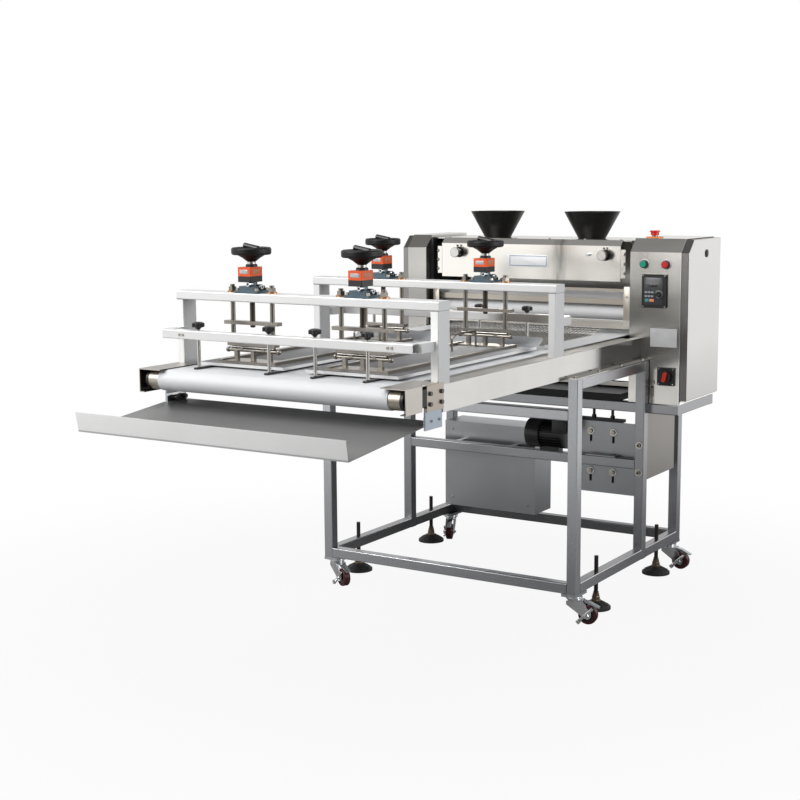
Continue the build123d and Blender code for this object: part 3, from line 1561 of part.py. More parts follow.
# Bolts, nuts and the flanged bronze bushings in the beams
with BuildPart() as fasteners:
    for sign in sides.values():
        hex_head(
            across(middle + sign * (channel_half + guard_t)), nose_bolts, nose_bolt_s, sign * nose_bolt_h
        )
        flange = middle + sign * (channel_half + channel_foot / 2)
        rail_screw_pitch = mid_leg_back / (rail_screw_count - 1)
        rail_screws = [(flange, front + tube / 2 + n * rail_screw_pitch) for n in range(rail_screw_count)]
        hex_head(Plane((0, 0, leg_top + sheet_t)), rail_screws, rail_screw_s, rail_screw_h)
        arm_screws = [
            (middle + sign * guide_screw_x + step * guide_screw_pitch, guide_z + guide_tube / 2)
            for step in (-0.5, 0.5)
        ]
        hex_head(facing(0, front - guide_front), arm_screws, arm_screw_s, arm_screw_h)
    lid_x = (middle + box_left + lid_screw_in, middle + box_right - lid_screw_in)
    lid_screws = [(x, box_z + z) for x in lid_x for z in (lid_screw_in, box_h - lid_screw_in)]
    hex_head(facing(0, box_y), lid_screws, lid_screw_s, lid_screw_h)
    hex_head(facing(0, rail_back), motor_bolts, washer_s, washer_t)
    hex_head(facing(0, rail_back - washer_t), motor_bolts, plate_bolt_s, plate_bolt_h)
    leg_bolt_z = mid_rail_z - leg_bolt_drop
    leg_bolts = [(middle + leg_out - tube / 2, leg_bolt_z + n * leg_bolt_pitch) for n in (0, 1)]
    hex_head(facing(0, row_y[1]), leg_bolts, washer_s, washer_t)
    hex_head(facing(0, row_y[1] - washer_t), leg_bolts, plate_bolt_s, plate_bolt_h)
    plate_screws = [
        (rail_plate_x + step * rail_plate_w, row_y[1] + tube / 2) for step in (0.2, 0.8)
    ]
    hex_head(Plane((0, 0, rail_plate_top)), plate_screws, lid_screw_s, lid_screw_h)
    earth_bolt = [(middle + earth_x, earth_z + earth_h + earth_w)]
    hex_head(facing(0, face_y), earth_bolt, plate_bolt_s, plate_bolt_h)
    flange_x = flange_w / 2 - flange_screw_in
    flange_y = post_d / 2 - flange_screw_in
    for y in bridge_y.values():
        for x in lane_x.values():
            flange_screws = [(x + sx * flange_x, y + sy * flange_y) for sx in (-1, 1) for sy in (-1, 1)]
            hex_head(Plane((0, 0, bridge_top + flange_t)), flange_screws, flange_screw_s, flange_screw_h)
            for step in (-rod_half, rod_half):
                rod_z(x + step, y, beam_z, bridge_top, bushing_r)
                rod_z(x + step, y, bridge_top, flange_top, bushing_flange_r)
                rod_z(x + step, y, beam_z, flange_top, rod_r + running, mode=Mode.SUBTRACT)
save(fasteners.part, "fasteners")
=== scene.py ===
import json
import math

import bmesh
import bpy
from mathutils import Matrix, Vector


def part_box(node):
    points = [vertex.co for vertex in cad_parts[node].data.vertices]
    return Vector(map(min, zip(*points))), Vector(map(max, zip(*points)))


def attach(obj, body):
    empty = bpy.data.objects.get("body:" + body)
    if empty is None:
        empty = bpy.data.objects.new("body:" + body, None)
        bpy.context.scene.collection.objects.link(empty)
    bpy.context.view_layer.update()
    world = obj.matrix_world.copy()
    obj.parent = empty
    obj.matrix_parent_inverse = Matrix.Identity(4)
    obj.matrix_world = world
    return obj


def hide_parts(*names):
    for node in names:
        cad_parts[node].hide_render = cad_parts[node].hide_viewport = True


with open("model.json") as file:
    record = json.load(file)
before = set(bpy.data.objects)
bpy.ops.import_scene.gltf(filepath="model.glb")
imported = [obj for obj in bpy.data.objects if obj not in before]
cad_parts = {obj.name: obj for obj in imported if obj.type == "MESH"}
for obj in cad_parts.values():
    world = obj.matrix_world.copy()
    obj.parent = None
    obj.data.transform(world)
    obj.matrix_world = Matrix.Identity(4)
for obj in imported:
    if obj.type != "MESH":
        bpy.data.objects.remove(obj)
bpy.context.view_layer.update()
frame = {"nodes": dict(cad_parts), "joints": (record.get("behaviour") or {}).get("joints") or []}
nodes = frame["nodes"]
joints = {joint["name"]: joint for joint in frame["joints"]}

SIDES = {"left": -1, "right": 1}
ENDS = ("front", "rear")
CORNERS = [f"{end}_{side}" for end in ENDS for side in SIDES]
FOUR = [(across, up) for across in (-1, 1) for up in (-1, 1)]

# Reference planes of the machine, read from the solids
belt_lo, belt_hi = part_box("belt")
mat_lo, mat_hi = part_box("curling_mat")
house_lo, house_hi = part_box("housings")
rail_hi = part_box("conveyor_frame")[1]
MID = (belt_lo.x + belt_hi.x) / 2
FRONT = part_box("base_frame")[0].y
BELT = belt_hi.z
FACE = house_lo.y
HOUSE_TOP = house_hi.z
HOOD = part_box("head_cover")[0].y
HEAD_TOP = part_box("head_frame")[1].z
JACK_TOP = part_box("jack_units")[1].z
LANES = {side: sum(c.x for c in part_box(f"handwheel_front_{side}")) / 2 for side in SIDES}
BRIDGES = {end: sum(c.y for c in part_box(f"handwheel_{end}_left")) / 2 for end in ENDS}

# Node materials
EDGE_SOFT = 0.0003
BUMP_DEPTH = 0.0004
NOISE_LOW, NOISE_HIGH = 0.3, 0.7


class Look:
    """A node material round one principled shader, with helpers for its masks and textures."""

    def __init__(self, name):
        self.mat = bpy.data.materials.new(name)
        self.mat.use_nodes = True
        self.tree = self.mat.node_tree
        self.tree.nodes.clear()
        out = self.add("ShaderNodeOutputMaterial")
        self.bsdf = self.add("ShaderNodeBsdfPrincipled")
        self.tree.links.new(self.bsdf.outputs[0], out.inputs[0])
        self.point = self.add("ShaderNodeTexCoord").outputs["Object"]
        self.axis = self.split(self.point)
        self.normal = self.split(self.add("ShaderNodeNewGeometry").outputs["Normal"])

    def add(self, kind, **props):
        node = self.tree.nodes.new(kind)
        for key, value in props.items():
            setattr(node, key, value)
        return node

    def put(self, socket, value):
        """Links an output to a socket, or sets the socket to a constant."""
        if isinstance(value, bpy.types.NodeSocket):
            self.tree.links.new(value, socket)
        elif isinstance(value, (tuple, list)) and socket.type == "RGBA":
            socket.default_value = (*value[:3], 1.0)
        else:
            socket.default_value = value

    def split(self, vector):
        node = self.add("ShaderNodeSeparateXYZ")
        self.put(node.inputs[0], vector)
        return dict(zip("xyz", node.outputs))

    def math(self, op, a, b=0.0, clamp=False):
        node = self.add("ShaderNodeMath", operation=op, use_clamp=clamp)
        self.put(node.inputs[0], a)
        self.put(node.inputs[1], b)
        return node.outputs[0]

    def vector(self, op, a, b=(0.0, 0.0, 0.0)):
        node = self.add("ShaderNodeVectorMath", operation=op)
        self.put(node.inputs[0], a)
        self.put(node.inputs[1], b)
        return node.outputs["Value"] if op == "LENGTH" else node.outputs[0]

    def remap(self, value, low, high, to_low=0.0, to_high=1.0):
        node = self.add("ShaderNodeMapRange")
        for place, item in enumerate((value, low, high, to_low, to_high)):
            self.put(node.inputs[place], item)
        return node.outputs[0]

    def ramp(self, axis, low, high, to_low=0.0, to_high=1.0):
        """Runs from one value to another between two places on an axis."""
        return self.remap(self.axis[axis], low, high, to_low, to_high)

    def above(self, axis, edge, soft=EDGE_SOFT):
        return self.ramp(axis, edge - soft, edge + soft)

    def below(self, axis, edge, soft=EDGE_SOFT):
        return self.ramp(axis, edge - soft, edge + soft, 1.0, 0.0)

    def both(self, *masks):
        total = masks[0]
        for mask in masks[1:]:
            total = self.math("MULTIPLY", total, mask)
        return total

    def either(self, *masks):
        total = masks[0]
        for mask in masks[1:]:
            total = self.math("MAXIMUM", total, mask)
        return total

    def inside(self, **spans):
        masks = []
        for axis, (low, high) in spans.items():
            masks += [self.above(axis, low), self.below(axis, high)]
        return self.both(*masks)

    def within(self, reach):
        """Mask of what lies nearer than reach to the machine's middle plane."""
        return self.inside(x=(MID - reach, MID + reach))

    def beyond(self, reach):
        """Mask of what lies further than reach from the machine's middle plane."""
        return self.either(self.above("x", MID + reach), self.below("x", MID - reach))

    def faces(self, axis, sign, low=0.6, high=0.8):
        """Mask of the faces that look along an axis."""
        return self.remap(self.math("MULTIPLY", self.normal[axis], float(sign)), low, high)

    def dim(self, share, mask, full=1.0):
        """Factor that falls from full by a share where the mask is one."""
        return self.math("SUBTRACT", full, self.math("MULTIPLY", share, mask))

    def radius(self, centre, axis):
        arm = self.vector("SUBTRACT", self.point, tuple(centre))
        return self.vector("LENGTH", self.vector("CROSS_PRODUCT", arm, tuple(axis)))

    def knurl(self, x, z, count):
        """Wave of count teeth round an axis along y."""
        up = self.math("SUBTRACT", self.axis["z"], z)
        across = self.math("SUBTRACT", self.axis["x"], x)
        turn = self.math("ARCTAN2", up, across)
        return self.math("SINE", self.math("MULTIPLY", turn, float(count)))

    def noise(self, scale, detail=3.0, rough=0.55):
        node = self.add("ShaderNodeTexNoise")
        node.inputs["Detail"].default_value = detail
        node.inputs["Roughness"].default_value = rough
        node.inputs["Scale"].default_value = 1.0
        move = self.add("ShaderNodeMapping")
        move.inputs["Scale"].default_value = scale if isinstance(scale, tuple) else (scale,) * 3
        self.put(move.inputs[0], self.point)
        self.put(node.inputs["Vector"], move.outputs[0])
        return node.outputs["Fac"]

    def spread(self, noise, middle, reach):
        """Spreads a noise to reach either side of a middle value."""
        return self.remap(noise, NOISE_LOW, NOISE_HIGH, middle - reach, middle + reach)

    def mix(self, mask, a, b, kind="MIX"):
        node = self.add("ShaderNodeMix", data_type="RGBA", blend_type=kind)
        self.put(node.inputs["Factor"], mask)
        self.put(node.inputs[6], a)
        self.put(node.inputs[7], b)
        return node.outputs[2]

    def mix_value(self, mask, a, b):
        node = self.add("ShaderNodeMix", data_type="FLOAT")
        self.put(node.inputs["Factor"], mask)
        self.put(node.inputs[2], a)
        self.put(node.inputs[3], b)
        return node.outputs[0]

    def shade(self, color, factor):
        grey = self.add("ShaderNodeCombineXYZ")
        for socket in grey.inputs:
            self.put(socket, factor)
        return self.mix(1.0, color, grey.outputs[0], "MULTIPLY")

    def finish(self, color, rough, metal, height, strength):
        self.put(self.bsdf.inputs["Base Color"], color)
        self.put(self.bsdf.inputs["Roughness"], rough)
        self.put(self.bsdf.inputs["Metallic"], metal)
        bump = self.add("ShaderNodeBump")
        bump.inputs["Strength"].default_value = strength
        bump.inputs["Distance"].default_value = BUMP_DEPTH
        self.put(bump.inputs["Height"], height)
        self.put(self.bsdf.inputs["Normal"], bump.outputs[0])
        return self.mat


mats = {}


def layered(name, base, *layers, cloud=(6.0, 0.05), grain=(900.0, 0.03), bump=0.08,
            height=None, tint=None, patchy=0.03, gloss=0.5):
    """Stores a material of one base finish with masked finishes over it.

    A finish is a colour, a roughness and a metal share. A layer is a mask function and a finish.
    cloud and grain are the scale and strength of broad and of fine variation, and grain's scale
    may be three numbers for a brushed direction. height is a function for a relief in place of
    the grain, and tint a function for one more factor on the colour. patchy is the spread of the
    roughness, and gloss the strength of the shader's plain reflection.
    """
    look = Look(name)
    color, rough, metal = base
    for mask, (top_color, top_rough, top_metal) in layers:
        where = mask(look)
        color = look.mix(where, color, top_color)
        rough = look.mix_value(where, rough, top_rough)
        metal = look.mix_value(where, metal, top_metal)
    fine = look.noise(grain[0], 2.0)
    broad = look.spread(look.noise(cloud[0], 3.0), 1.0, cloud[1])
    tone = look.math("MULTIPLY", broad, look.spread(fine, 1.0, grain[1]))
    if tint:
        tone = look.math("MULTIPLY", tone, tint(look))
    rough = look.math("ADD", rough, look.spread(fine, 0.0, patchy), clamp=True)
    look.bsdf.inputs["Specular IOR Level"].default_value = gloss
    color = look.shade(color, tone)
    mats[name] = look.finish(color, rough, metal, height(look) if height else fine, bump)


# Finishes that several materials share
STEEL = ((0.60, 0.585, 0.555), 0.22, 1.0)
SATIN = ((0.72, 0.72, 0.715), 0.36, 0.4)
# Satin painted darker as shade, for faces that look sideways
SATIN_SHADED_SIDE = ((0.58, 0.585, 0.59), 0.40, 0.35)
COVER = ((0.76, 0.75, 0.73), 0.25, 1.0)
COVER_INSIDE = ((0.38, 0.37, 0.355), 0.50, 0.6)
ZINC = ((0.62, 0.64, 0.66), 0.26, 1.0)
BLACK = ((0.008, 0.008, 0.0085), 0.34, 0.0)
RUBBER = ((0.012, 0.012, 0.0125), 0.55, 0.0)

# Brushed grain along z, x and y
UPRIGHT = ((1500.0, 1500.0, 9.0), 0.03)
LEVEL = ((9.0, 1500.0, 1500.0), 0.03)
ALONG = ((1500.0, 9.0, 1500.0), 0.03)

# Base frame: painted shade on the tops, on the left legs' inner sides and to the rear, a painted
# highlight on the rounded edges, and zinc castor plates
CASTOR_PLATE_TOP, LOW_RAIL_TOP = 0.1171, 0.1585
REAR_RAIL, LEG_INSIDE = FRONT + 0.9, 0.524
layered(
    "frame_enamel", ((0.47, 0.475, 0.49), 0.26, 0.9),
    # Painted shade on the top faces
    (lambda k: k.faces("z", 1), ((0.31, 0.313, 0.32), 0.28, 0.9)),
    # Painted shade on the right-facing sides of the left legs, inside the frame
    (lambda k: k.both(k.below("x", MID), k.faces("x", 1)), ((0.20, 0.202, 0.21), 0.30, 0.9)),
    # Painted highlight on the rounded edges between the right-facing sides and the tops
    (lambda k: k.both(k.faces("x", 1, 0.35, 0.5), k.faces("z", 1, 0.35, 0.5)),
     ((0.84, 0.84, 0.85), 0.24, 0.9)),
    (lambda k: k.below("z", CASTOR_PLATE_TOP), ZINC),
    cloud=(3.0, 0.03), grain=(1400.0, 0.05),
    # Painted shade: darker towards the rear, and darker still on the low rear rail between the legs
    tint=lambda k: k.both(
        k.ramp("y", FRONT + 0.05, FRONT + 0.50, 1.07, 0.75),
        k.dim(0.45, k.both(
            k.above("y", REAR_RAIL), k.below("z", LOW_RAIL_TOP), k.within(LEG_INSIDE)))),
)

# Conveyor channels: bright sides with painted shade on the right sides towards the head, and tops
# painted dark as shade, dull and streaked
HEAD_SHADE = (FRONT + 0.262, FRONT + 0.290)
layered(
    "channel_steel", ((0.67, 0.66, 0.64), 0.14, 1.0),
    # Tops painted dark as shade, with dull streaks over them
    (lambda k: k.faces("z", 1), ((0.27, 0.26, 0.245), 0.50, 0.1)),
    (lambda k: k.both(k.faces("z", 1), k.remap(k.noise((110.0, 5.0, 1.0), 3.0), 0.42, 0.78)),
     ((0.42, 0.405, 0.38), 0.42, 0.2)),
    cloud=(4.0, 0.04), grain=ALONG, bump=0.03, patchy=0.02,
    # Painted shade on the right sides towards the head
    tint=lambda k: k.dim(0.56, k.both(k.faces("x", 1), k.ramp("y", *HEAD_SHADE))),
)

# Guide tubes and bridges: satin, with painted shade on the sideways faces and on part of the rear
# tube, painted light on the front posts, and a dark seam over each post
SATIN_SHADED_SIDES = [(lambda k, sign=sign: k.faces("x", sign), SATIN_SHADED_SIDE) for sign in (1, -1)]
SATIN_GRAIN = {"cloud": (5.0, 0.02), "grain": (900.0, 0.035), "bump": 0.05}
SHADE_LEFT, SHADE_RIGHT = MID + 0.21, MID + 0.44
POST_TOP, POST_SEAM, POST_INSIDE = 1.2345, (1.2353, 1.2367), 0.4945
BETWEEN_BRIDGES = FRONT - 0.5
layered(
    "guide_satin", SATIN, *SATIN_SHADED_SIDES,
    # Painted shade of the bridge on part of the rear tube's front
    (lambda k: k.both(k.faces("y", -1), k.above("y", FRONT), k.above("x", SHADE_LEFT, 0.02),
                      k.below("x", SHADE_RIGHT)), ((0.28, 0.26, 0.235), 0.34, 0.4)),
    **SATIN_GRAIN,
)
layered(
    "bridge_satin", SATIN, *SATIN_SHADED_SIDES,
    # Painted light on the front faces of the front bridge's posts
    (lambda k: k.both(k.faces("y", -1), k.below("z", POST_TOP), k.below("y", BETWEEN_BRIDGES)),
     ((0.92, 0.92, 0.91), 0.36, 0.3)),
    (lambda k: k.both(k.inside(z=POST_SEAM), k.beyond(POST_INSIDE)),
     ((0.16, 0.16, 0.16), 0.5, 0.2)),
    **SATIN_GRAIN,
)

# Discharge tray: a floor painted dark as shade, a lip painted bright as lit, with a painted shadow
# at its foot and a painted highlight on its rim, and painted shade to the rear
LIP_FOOT, LIP_RIM = 0.8525, 0.9095
layered(
    # Floor painted dark and dull as shade
    "tray_steel", ((0.185, 0.185, 0.183), 0.42, 0.25),
    # Lip painted bright as lit
    (lambda k: k.faces("y", -1, 0.3, 0.6), ((0.80, 0.80, 0.795), 0.24, 1.0)),
    # Painted shadow along the foot of the lip
    (lambda k: k.both(k.faces("y", -1, 0.3, 0.6), k.below("z", LIP_FOOT, 0.0015)),
     ((0.42, 0.42, 0.42), 0.30, 1.0)),
    # Painted highlight on the rim
    (lambda k: k.above("z", LIP_RIM), ((0.93, 0.93, 0.93), 0.20, 1.0)),
    cloud=(3.0, 0.04), grain=LEVEL, bump=0.04, gloss=0.25,
    # Painted light at the front edge, fading to painted shade towards the belt
    tint=lambda k: k.ramp("y", FRONT - 1.16, FRONT - 0.95, 1.20, 0.95),
)

# Housings, covers and hood: brushed, with painted bands of light and shade, a painted highlight on
# the right housing's rim, covers painted dark as shade on their fronts, tops and lower parts and
# darker and duller inside, and a painted dark reflection on the hood
HOUSE_RIM = MID + 0.6854
HOOD_SEAM, SEAM_HALF = 0.416, 0.0009
layered(
    "housing_brushed", STEEL,
    # Painted highlight along the right housing's right rim
    (lambda k: k.above("x", HOUSE_RIM), ((0.86, 0.85, 0.83), 0.16, 1.0)),
    cloud=(3.5, 0.07), grain=UPRIGHT, bump=0.04,
    # Random tone, with painted shade towards the left, and painted light below and above a painted
    # band of shade
    tint=lambda k: k.both(
        k.remap(k.noise((2.0, 2.0, 5.0), 2.0), 0.35, 0.65, 0.90, 1.08),
        k.ramp("x", MID - 0.3, MID + 0.3, 0.78, 1.0),
        k.dim(0.40, k.both(k.ramp("z", 0.90, 1.08), k.ramp("z", 1.16, 1.28, 1.0, 0.0)), 1.22)),
)
layered(
    # Covers: fronts and tops painted dark as shade, bright sides, darker and duller inner sides
    "cover_brushed", ((0.27, 0.26, 0.25), 0.28, 1.0),
    (lambda k: k.faces("x", 1, 0.3, 0.6), COVER),
    (lambda k: k.faces("x", -1, 0.3, 0.6), COVER),
    (lambda k: k.both(k.above("x", MID), k.faces("x", -1, 0.3, 0.6)), COVER_INSIDE),
    (lambda k: k.both(k.below("x", MID), k.faces("x", 1, 0.3, 0.6)), COVER_INSIDE),
    cloud=(2.0, 0.03), grain=UPRIGHT, bump=0.02, patchy=0.012,
    # Painted shade: darker towards the bottom
    tint=lambda k: k.ramp("z", 0.70, 1.00, 0.68, 0.94),
)
layered(
    "hood_brushed", ((0.94, 0.915, 0.855), 0.18, 0.97),
    (lambda k: k.either(*(
        k.inside(x=(MID + sign * HOOD_SEAM - SEAM_HALF, MID + sign * HOOD_SEAM + SEAM_HALF))
        for sign in (-1, 1))), ((0.34, 0.32, 0.29), 0.30, 1.0)),
    cloud=(3.0, 0.02), grain=LEVEL, bump=0.02, patchy=0.02,
    # Painted dark reflection: a streaky band right of the middle
    tint=lambda k: k.dim(0.44, k.both(
        k.ramp("x", MID + 0.105, MID + 0.135), k.ramp("x", MID + 0.150, MID + 0.180, 1.0, 0.0),
        k.remap(k.noise((30.0, 1.0, 9.0), 3.0), 0.25, 0.60))),
)

# Head: plates dark outside and under the hood, warm bars, paler near the belt, and rollers
PLATE_INSIDE, PLATE_FRONT = 0.4615, FACE + 0.045
LOW_BAR_TOP = BELT + 0.056
ROLLER_BODY = 0.497
layered(
    "head_plates", ((0.02, 0.02, 0.021), 0.38, 0.2),
    (lambda k: k.within(PLATE_INSIDE), STEEL),
    (lambda k: k.both(k.within(PLATE_INSIDE), k.below("y", PLATE_FRONT)),
     ((0.20, 0.19, 0.18), 0.3, 1.0)),
)
layered(
    "steel_bars", ((0.43, 0.395, 0.34), 0.34, 0.6),
    (lambda k: k.below("z", LOW_BAR_TOP), ((0.64, 0.61, 0.55), 0.30, 0.6)),
    cloud=(8.0, 0.04), grain=(900.0, 0.03), bump=0.03,
)
# Nose roller: warm steel, with its outer ends painted near black as the shade inside the open drum
# ends
layered(
    "roller_warm", ((0.40, 0.36, 0.31), 0.38, 1.0),
    (lambda k: k.beyond(ROLLER_BODY), ((0.03, 0.028, 0.026), 0.4, 0.5)),
    cloud=(12.0, 0.05), grain=LEVEL, bump=0.04,
)
layered(
    "roller_white", ((0.72, 0.725, 0.735), 0.58, 0.0),
    cloud=(4.0, 0.02), grain=(900.0, 0.01), bump=0.03, gloss=0.3,
)

# Plain metals, plastics and rubber
layered("steel_turned", STEEL, cloud=(20.0, 0.05), grain=(1500.0, 0.04), bump=0.05)
layered("zinc_plated", ZINC, cloud=(60.0, 0.10), grain=(1500.0, 0.05), bump=0.08)
layered(
    "bolt_dark", ((0.22, 0.215, 0.21), 0.32, 1.0), cloud=(80.0, 0.10), grain=(1500.0, 0.05),
)
layered(
    "chrome", ((0.80, 0.80, 0.80), 0.14, 1.0),
    cloud=(30.0, 0.05), grain=(1500.0, 0.03), bump=0.03,
)
layered("bronze", ((0.19, 0.155, 0.115), 0.32, 1.0), cloud=(60.0, 0.12), grain=(1500.0, 0.06))
layered(
    "casting_blue", ((0.030, 0.042, 0.052), 0.38, 0.4), cloud=(60.0, 0.08), grain=(1500.0, 0.06),
)
layered("tray_dark", ((0.012, 0.012, 0.012), 0.45, 0.3), cloud=(6.0, 0.12), grain=LEVEL)
layered(
    "mesh_wire", ((0.34, 0.325, 0.30), 0.30, 1.0), cloud=(20.0, 0.12), grain=(1500.0, 0.05),
)
layered("black_plastic", BLACK, cloud=(30.0, 0.15), grain=(2200.0, 0.12), bump=0.10)
layered("rubber_black", RUBBER, cloud=(25.0, 0.15), grain=(1800.0, 0.10), bump=0.15)
layered(
    "funnel_black", ((0.0045, 0.0042, 0.004), 0.38, 0.0),
    cloud=(8.0, 0.12), grain=(900.0, 0.08), gloss=0.28,
)
layered(
    "belt_white", ((0.67, 0.68, 0.695), 0.52, 0.0),
    cloud=(2.5, 0.012), grain=(1500.0, 0.012), bump=0.05,
)

# Nose: plates painted dark as shade on their inner faces and darker as shade on their tops, warm
# splices, black tension blocks and bluish tray hangers
BLOCK_FRONT, SPLICE_FRONT = FRONT - 1.0142, FRONT - 0.9868
BLOCK_HEIGHT, HANGER_TOP = (0.945, 1.0115), 0.9335
layered(
    "nose_plates", ((0.56, 0.53, 0.485), 0.25, 1.0),
    (lambda k: k.above("y", SPLICE_FRONT), ((0.45, 0.40, 0.35), 0.28, 1.0)),
    # Painted shade on the tops
    (lambda k: k.faces("z", 1), ((0.33, 0.31, 0.28), 0.30, 1.0)),
    # Painted shade on the inner faces
    (lambda k: k.either(k.both(k.below("x", MID), k.faces("x", 1)),
                        k.both(k.above("x", MID), k.faces("x", -1))),
     ((0.05, 0.042, 0.038), 0.36, 0.8)),
    (lambda k: k.inside(y=(BLOCK_FRONT, SPLICE_FRONT), z=BLOCK_HEIGHT), RUBBER),
    (lambda k: k.below("z", HANGER_TOP), ((0.41, 0.47, 0.53), 0.36, 0.8)),
)

# Pressing section: jacks under black and orange indicators, boards, handwheels and lane guides
BLACK_BOX, ORANGE_BOX = JACK_TOP - 0.0505, JACK_TOP - 0.0302
SHEET_SIDE, SHEET_TOP, BOARD_TAIL = BELT + 0.0171, BELT + 0.0174, FRONT - 0.0068
SCREW_TOP, RIM_FOOT = JACK_TOP - 0.117, JACK_TOP + 0.0165
SHOE_TOP, KNOB_FOOT = BELT + 0.0085, BELT + 0.1415
layered(
    "jack_unit", ((0.085, 0.125, 0.15), 0.36, 0.45),
    (lambda k: k.above("z", BLACK_BOX), BLACK),
    (lambda k: k.above("z", ORANGE_BOX), ((0.80, 0.105, 0.018), 0.34, 0.0)),
    cloud=(40.0, 0.06),
)
layered(
    "press_board", ((0.28, 0.26, 0.23), 0.28, 1.0),
    (lambda k: k.below("z", SHEET_SIDE), ((0.78, 0.78, 0.78), 0.36, 0.0)),
    (lambda k: k.both(k.below("z", SHEET_TOP), k.faces("z", 1)), ((0.15, 0.15, 0.155), 0.45, 0.0)),
    (lambda k: k.both(k.below("z", SHEET_TOP), k.faces("z", 1),
                      k.ramp("y", FRONT - 0.60, FRONT - 0.20)),
     ((0.36, 0.365, 0.375), 0.45, 0.0)),
    (lambda k: k.above("y", BOARD_TAIL), ((0.44, 0.45, 0.465), 0.45, 0.0)),
    gloss=0.2,
)
layered(
    "handwheel", STEEL,
    (lambda k: k.below("z", SCREW_TOP), ((0.085, 0.072, 0.060), 0.34, 1.0)),
    (lambda k: k.above("z", RIM_FOOT), ((0.005, 0.005, 0.0052), 0.46, 0.0)),
    cloud=(30.0, 0.08), grain=(1500.0, 0.06), gloss=0.28,
)
layered(
    "lane_guide", STEEL,
    (lambda k: k.above("z", KNOB_FOOT), BLACK),
    # Shoes painted near black: dark steel with painted shade along the belt
    (lambda k: k.below("z", SHOE_TOP), ((0.03, 0.03, 0.031), 0.36, 0.3)),
)

# Levelling feet and castor wheels: a bronze nut over a rubber disc, and a red tread
DISC_TOP, FOOT_NUT_TOP, TREAD_R = 0.0421, 0.0785, 0.0246
layered(
    "levelling_foot", ((0.030, 0.024, 0.021), 0.42, 0.5),
    (lambda k: k.inside(z=(DISC_TOP, FOOT_NUT_TOP)), ((0.15, 0.115, 0.08), 0.34, 1.0)),
    (lambda k: k.below("z", DISC_TOP), RUBBER),
    cloud=(60.0, 0.15), grain=(1200.0, 0.08),
)
for corner in CORNERS:
    roll = joints[f"roll_{corner}"]
    layered(
        f"castor_{corner}", ((0.030, 0.028, 0.028), 0.42, 0.3),
        (lambda k: k.math("GREATER_THAN", k.radius(roll["pos_m"], roll["axis"]), TREAD_R),
         ((0.060, 0.004, 0.007), 0.38, 0.0)),
        cloud=(60.0, 0.12), grain=(1200.0, 0.08),
    )

# Controls: black bezels and panel, pale data plate, orange ring, brass earth plate, and the buttons
DATA_HEIGHT, EARTH_TOP = (0.97, 1.055), 0.812
RING_FOOT, HEAD_FOOT, HANDLE_FRONT = HOUSE_TOP - 0.001, HOUSE_TOP + 0.0098, FACE - 0.0196
layered(
    "controls", BLACK,
    (lambda k: k.inside(z=DATA_HEIGHT), ((0.64, 0.645, 0.65), 0.40, 0.4)),
    (lambda k: k.above("z", RING_FOOT), ((0.72, 0.20, 0.02), 0.45, 0.0)),
    (lambda k: k.below("z", EARTH_TOP), ((0.40, 0.37, 0.31), 0.30, 1.0)),
    cloud=(30.0, 0.06),
)
layered("button_green", ((0.0, 0.30, 0.19), 0.30, 0.0), cloud=(90.0, 0.04))
layered("button_red", ((0.58, 0.012, 0.010), 0.32, 0.0), cloud=(90.0, 0.04))
layered(
    "stop_red", ((0.60, 0.016, 0.010), 0.34, 0.0),
    (lambda k: k.below("z", HEAD_FOOT), ((0.30, 0.29, 0.28), 0.4, 0.6)),
    cloud=(90.0, 0.05),
)
layered(
    "isolator", BLACK,
    (lambda k: k.below("y", HANDLE_FRONT), ((0.70, 0.030, 0.010), 0.34, 0.0)),
    cloud=(90.0, 0.05),
)
layered(
    "keypad", ((0.035, 0.037, 0.04), 0.30, 0.0), cloud=(60.0, 0.10), grain=(1500.0, 0.05),
)
layered(
    "display", ((0.022, 0.012, 0.008), 0.10, 0.0), cloud=(90.0, 0.10), grain=(1500.0, 0.02),
)
layered("key_teal", ((0.03, 0.30, 0.29), 0.35, 0.0), cloud=(90.0, 0.05))
layered("key_orange", ((0.72, 0.24, 0.11), 0.35, 0.0), cloud=(90.0, 0.05))
layered("key_grey", ((0.06, 0.062, 0.066), 0.38, 0.0), cloud=(90.0, 0.08))
layered("key_pale", ((0.33, 0.34, 0.35), 0.36, 0.0), cloud=(90.0, 0.08))
layered("indicator_side", ((0.55, 0.20, 0.09), 0.32, 0.0), cloud=(60.0, 0.08))
layered(
    "plate_pale", ((0.72, 0.725, 0.73), 0.42, 0.1), cloud=(20.0, 0.02), grain=LEVEL, bump=0.03,
)
layered("border_blue", ((0.035, 0.13, 0.24), 0.35, 0.0), cloud=(40.0, 0.05))
layered("window_pale", ((0.46, 0.48, 0.50), 0.18, 0.0), cloud=(50.0, 0.06))

# Gap knobs: a bright end face with a darker rim, and a knurled side
KNOB_RIM, KNURL_START, KNURL_TEETH = (0.0186, 0.0192), (0.0198, 0.0206), 48
for side in SIDES:
    x, _, z = joints[f"gap_{side}"]["pos_m"]
    layered(
        f"gap_knob_{side}", ((0.05, 0.036, 0.028), 0.30, 0.8),
        (lambda k: k.faces("y", -1), ((0.66, 0.65, 0.62), 0.24, 1.0)),
        (lambda k: k.both(k.faces("y", -1), k.remap(k.radius((x, 0, z), (0, 1, 0)), *KNOB_RIM)),
         ((0.26, 0.24, 0.21), 0.3, 1.0)),
        cloud=(60.0, 0.06), bump=0.9,
        height=lambda k: k.both(
            k.knurl(x, z, KNURL_TEETH), k.remap(k.radius((x, 0, z), (0, 1, 0)), *KNURL_START)),
    )

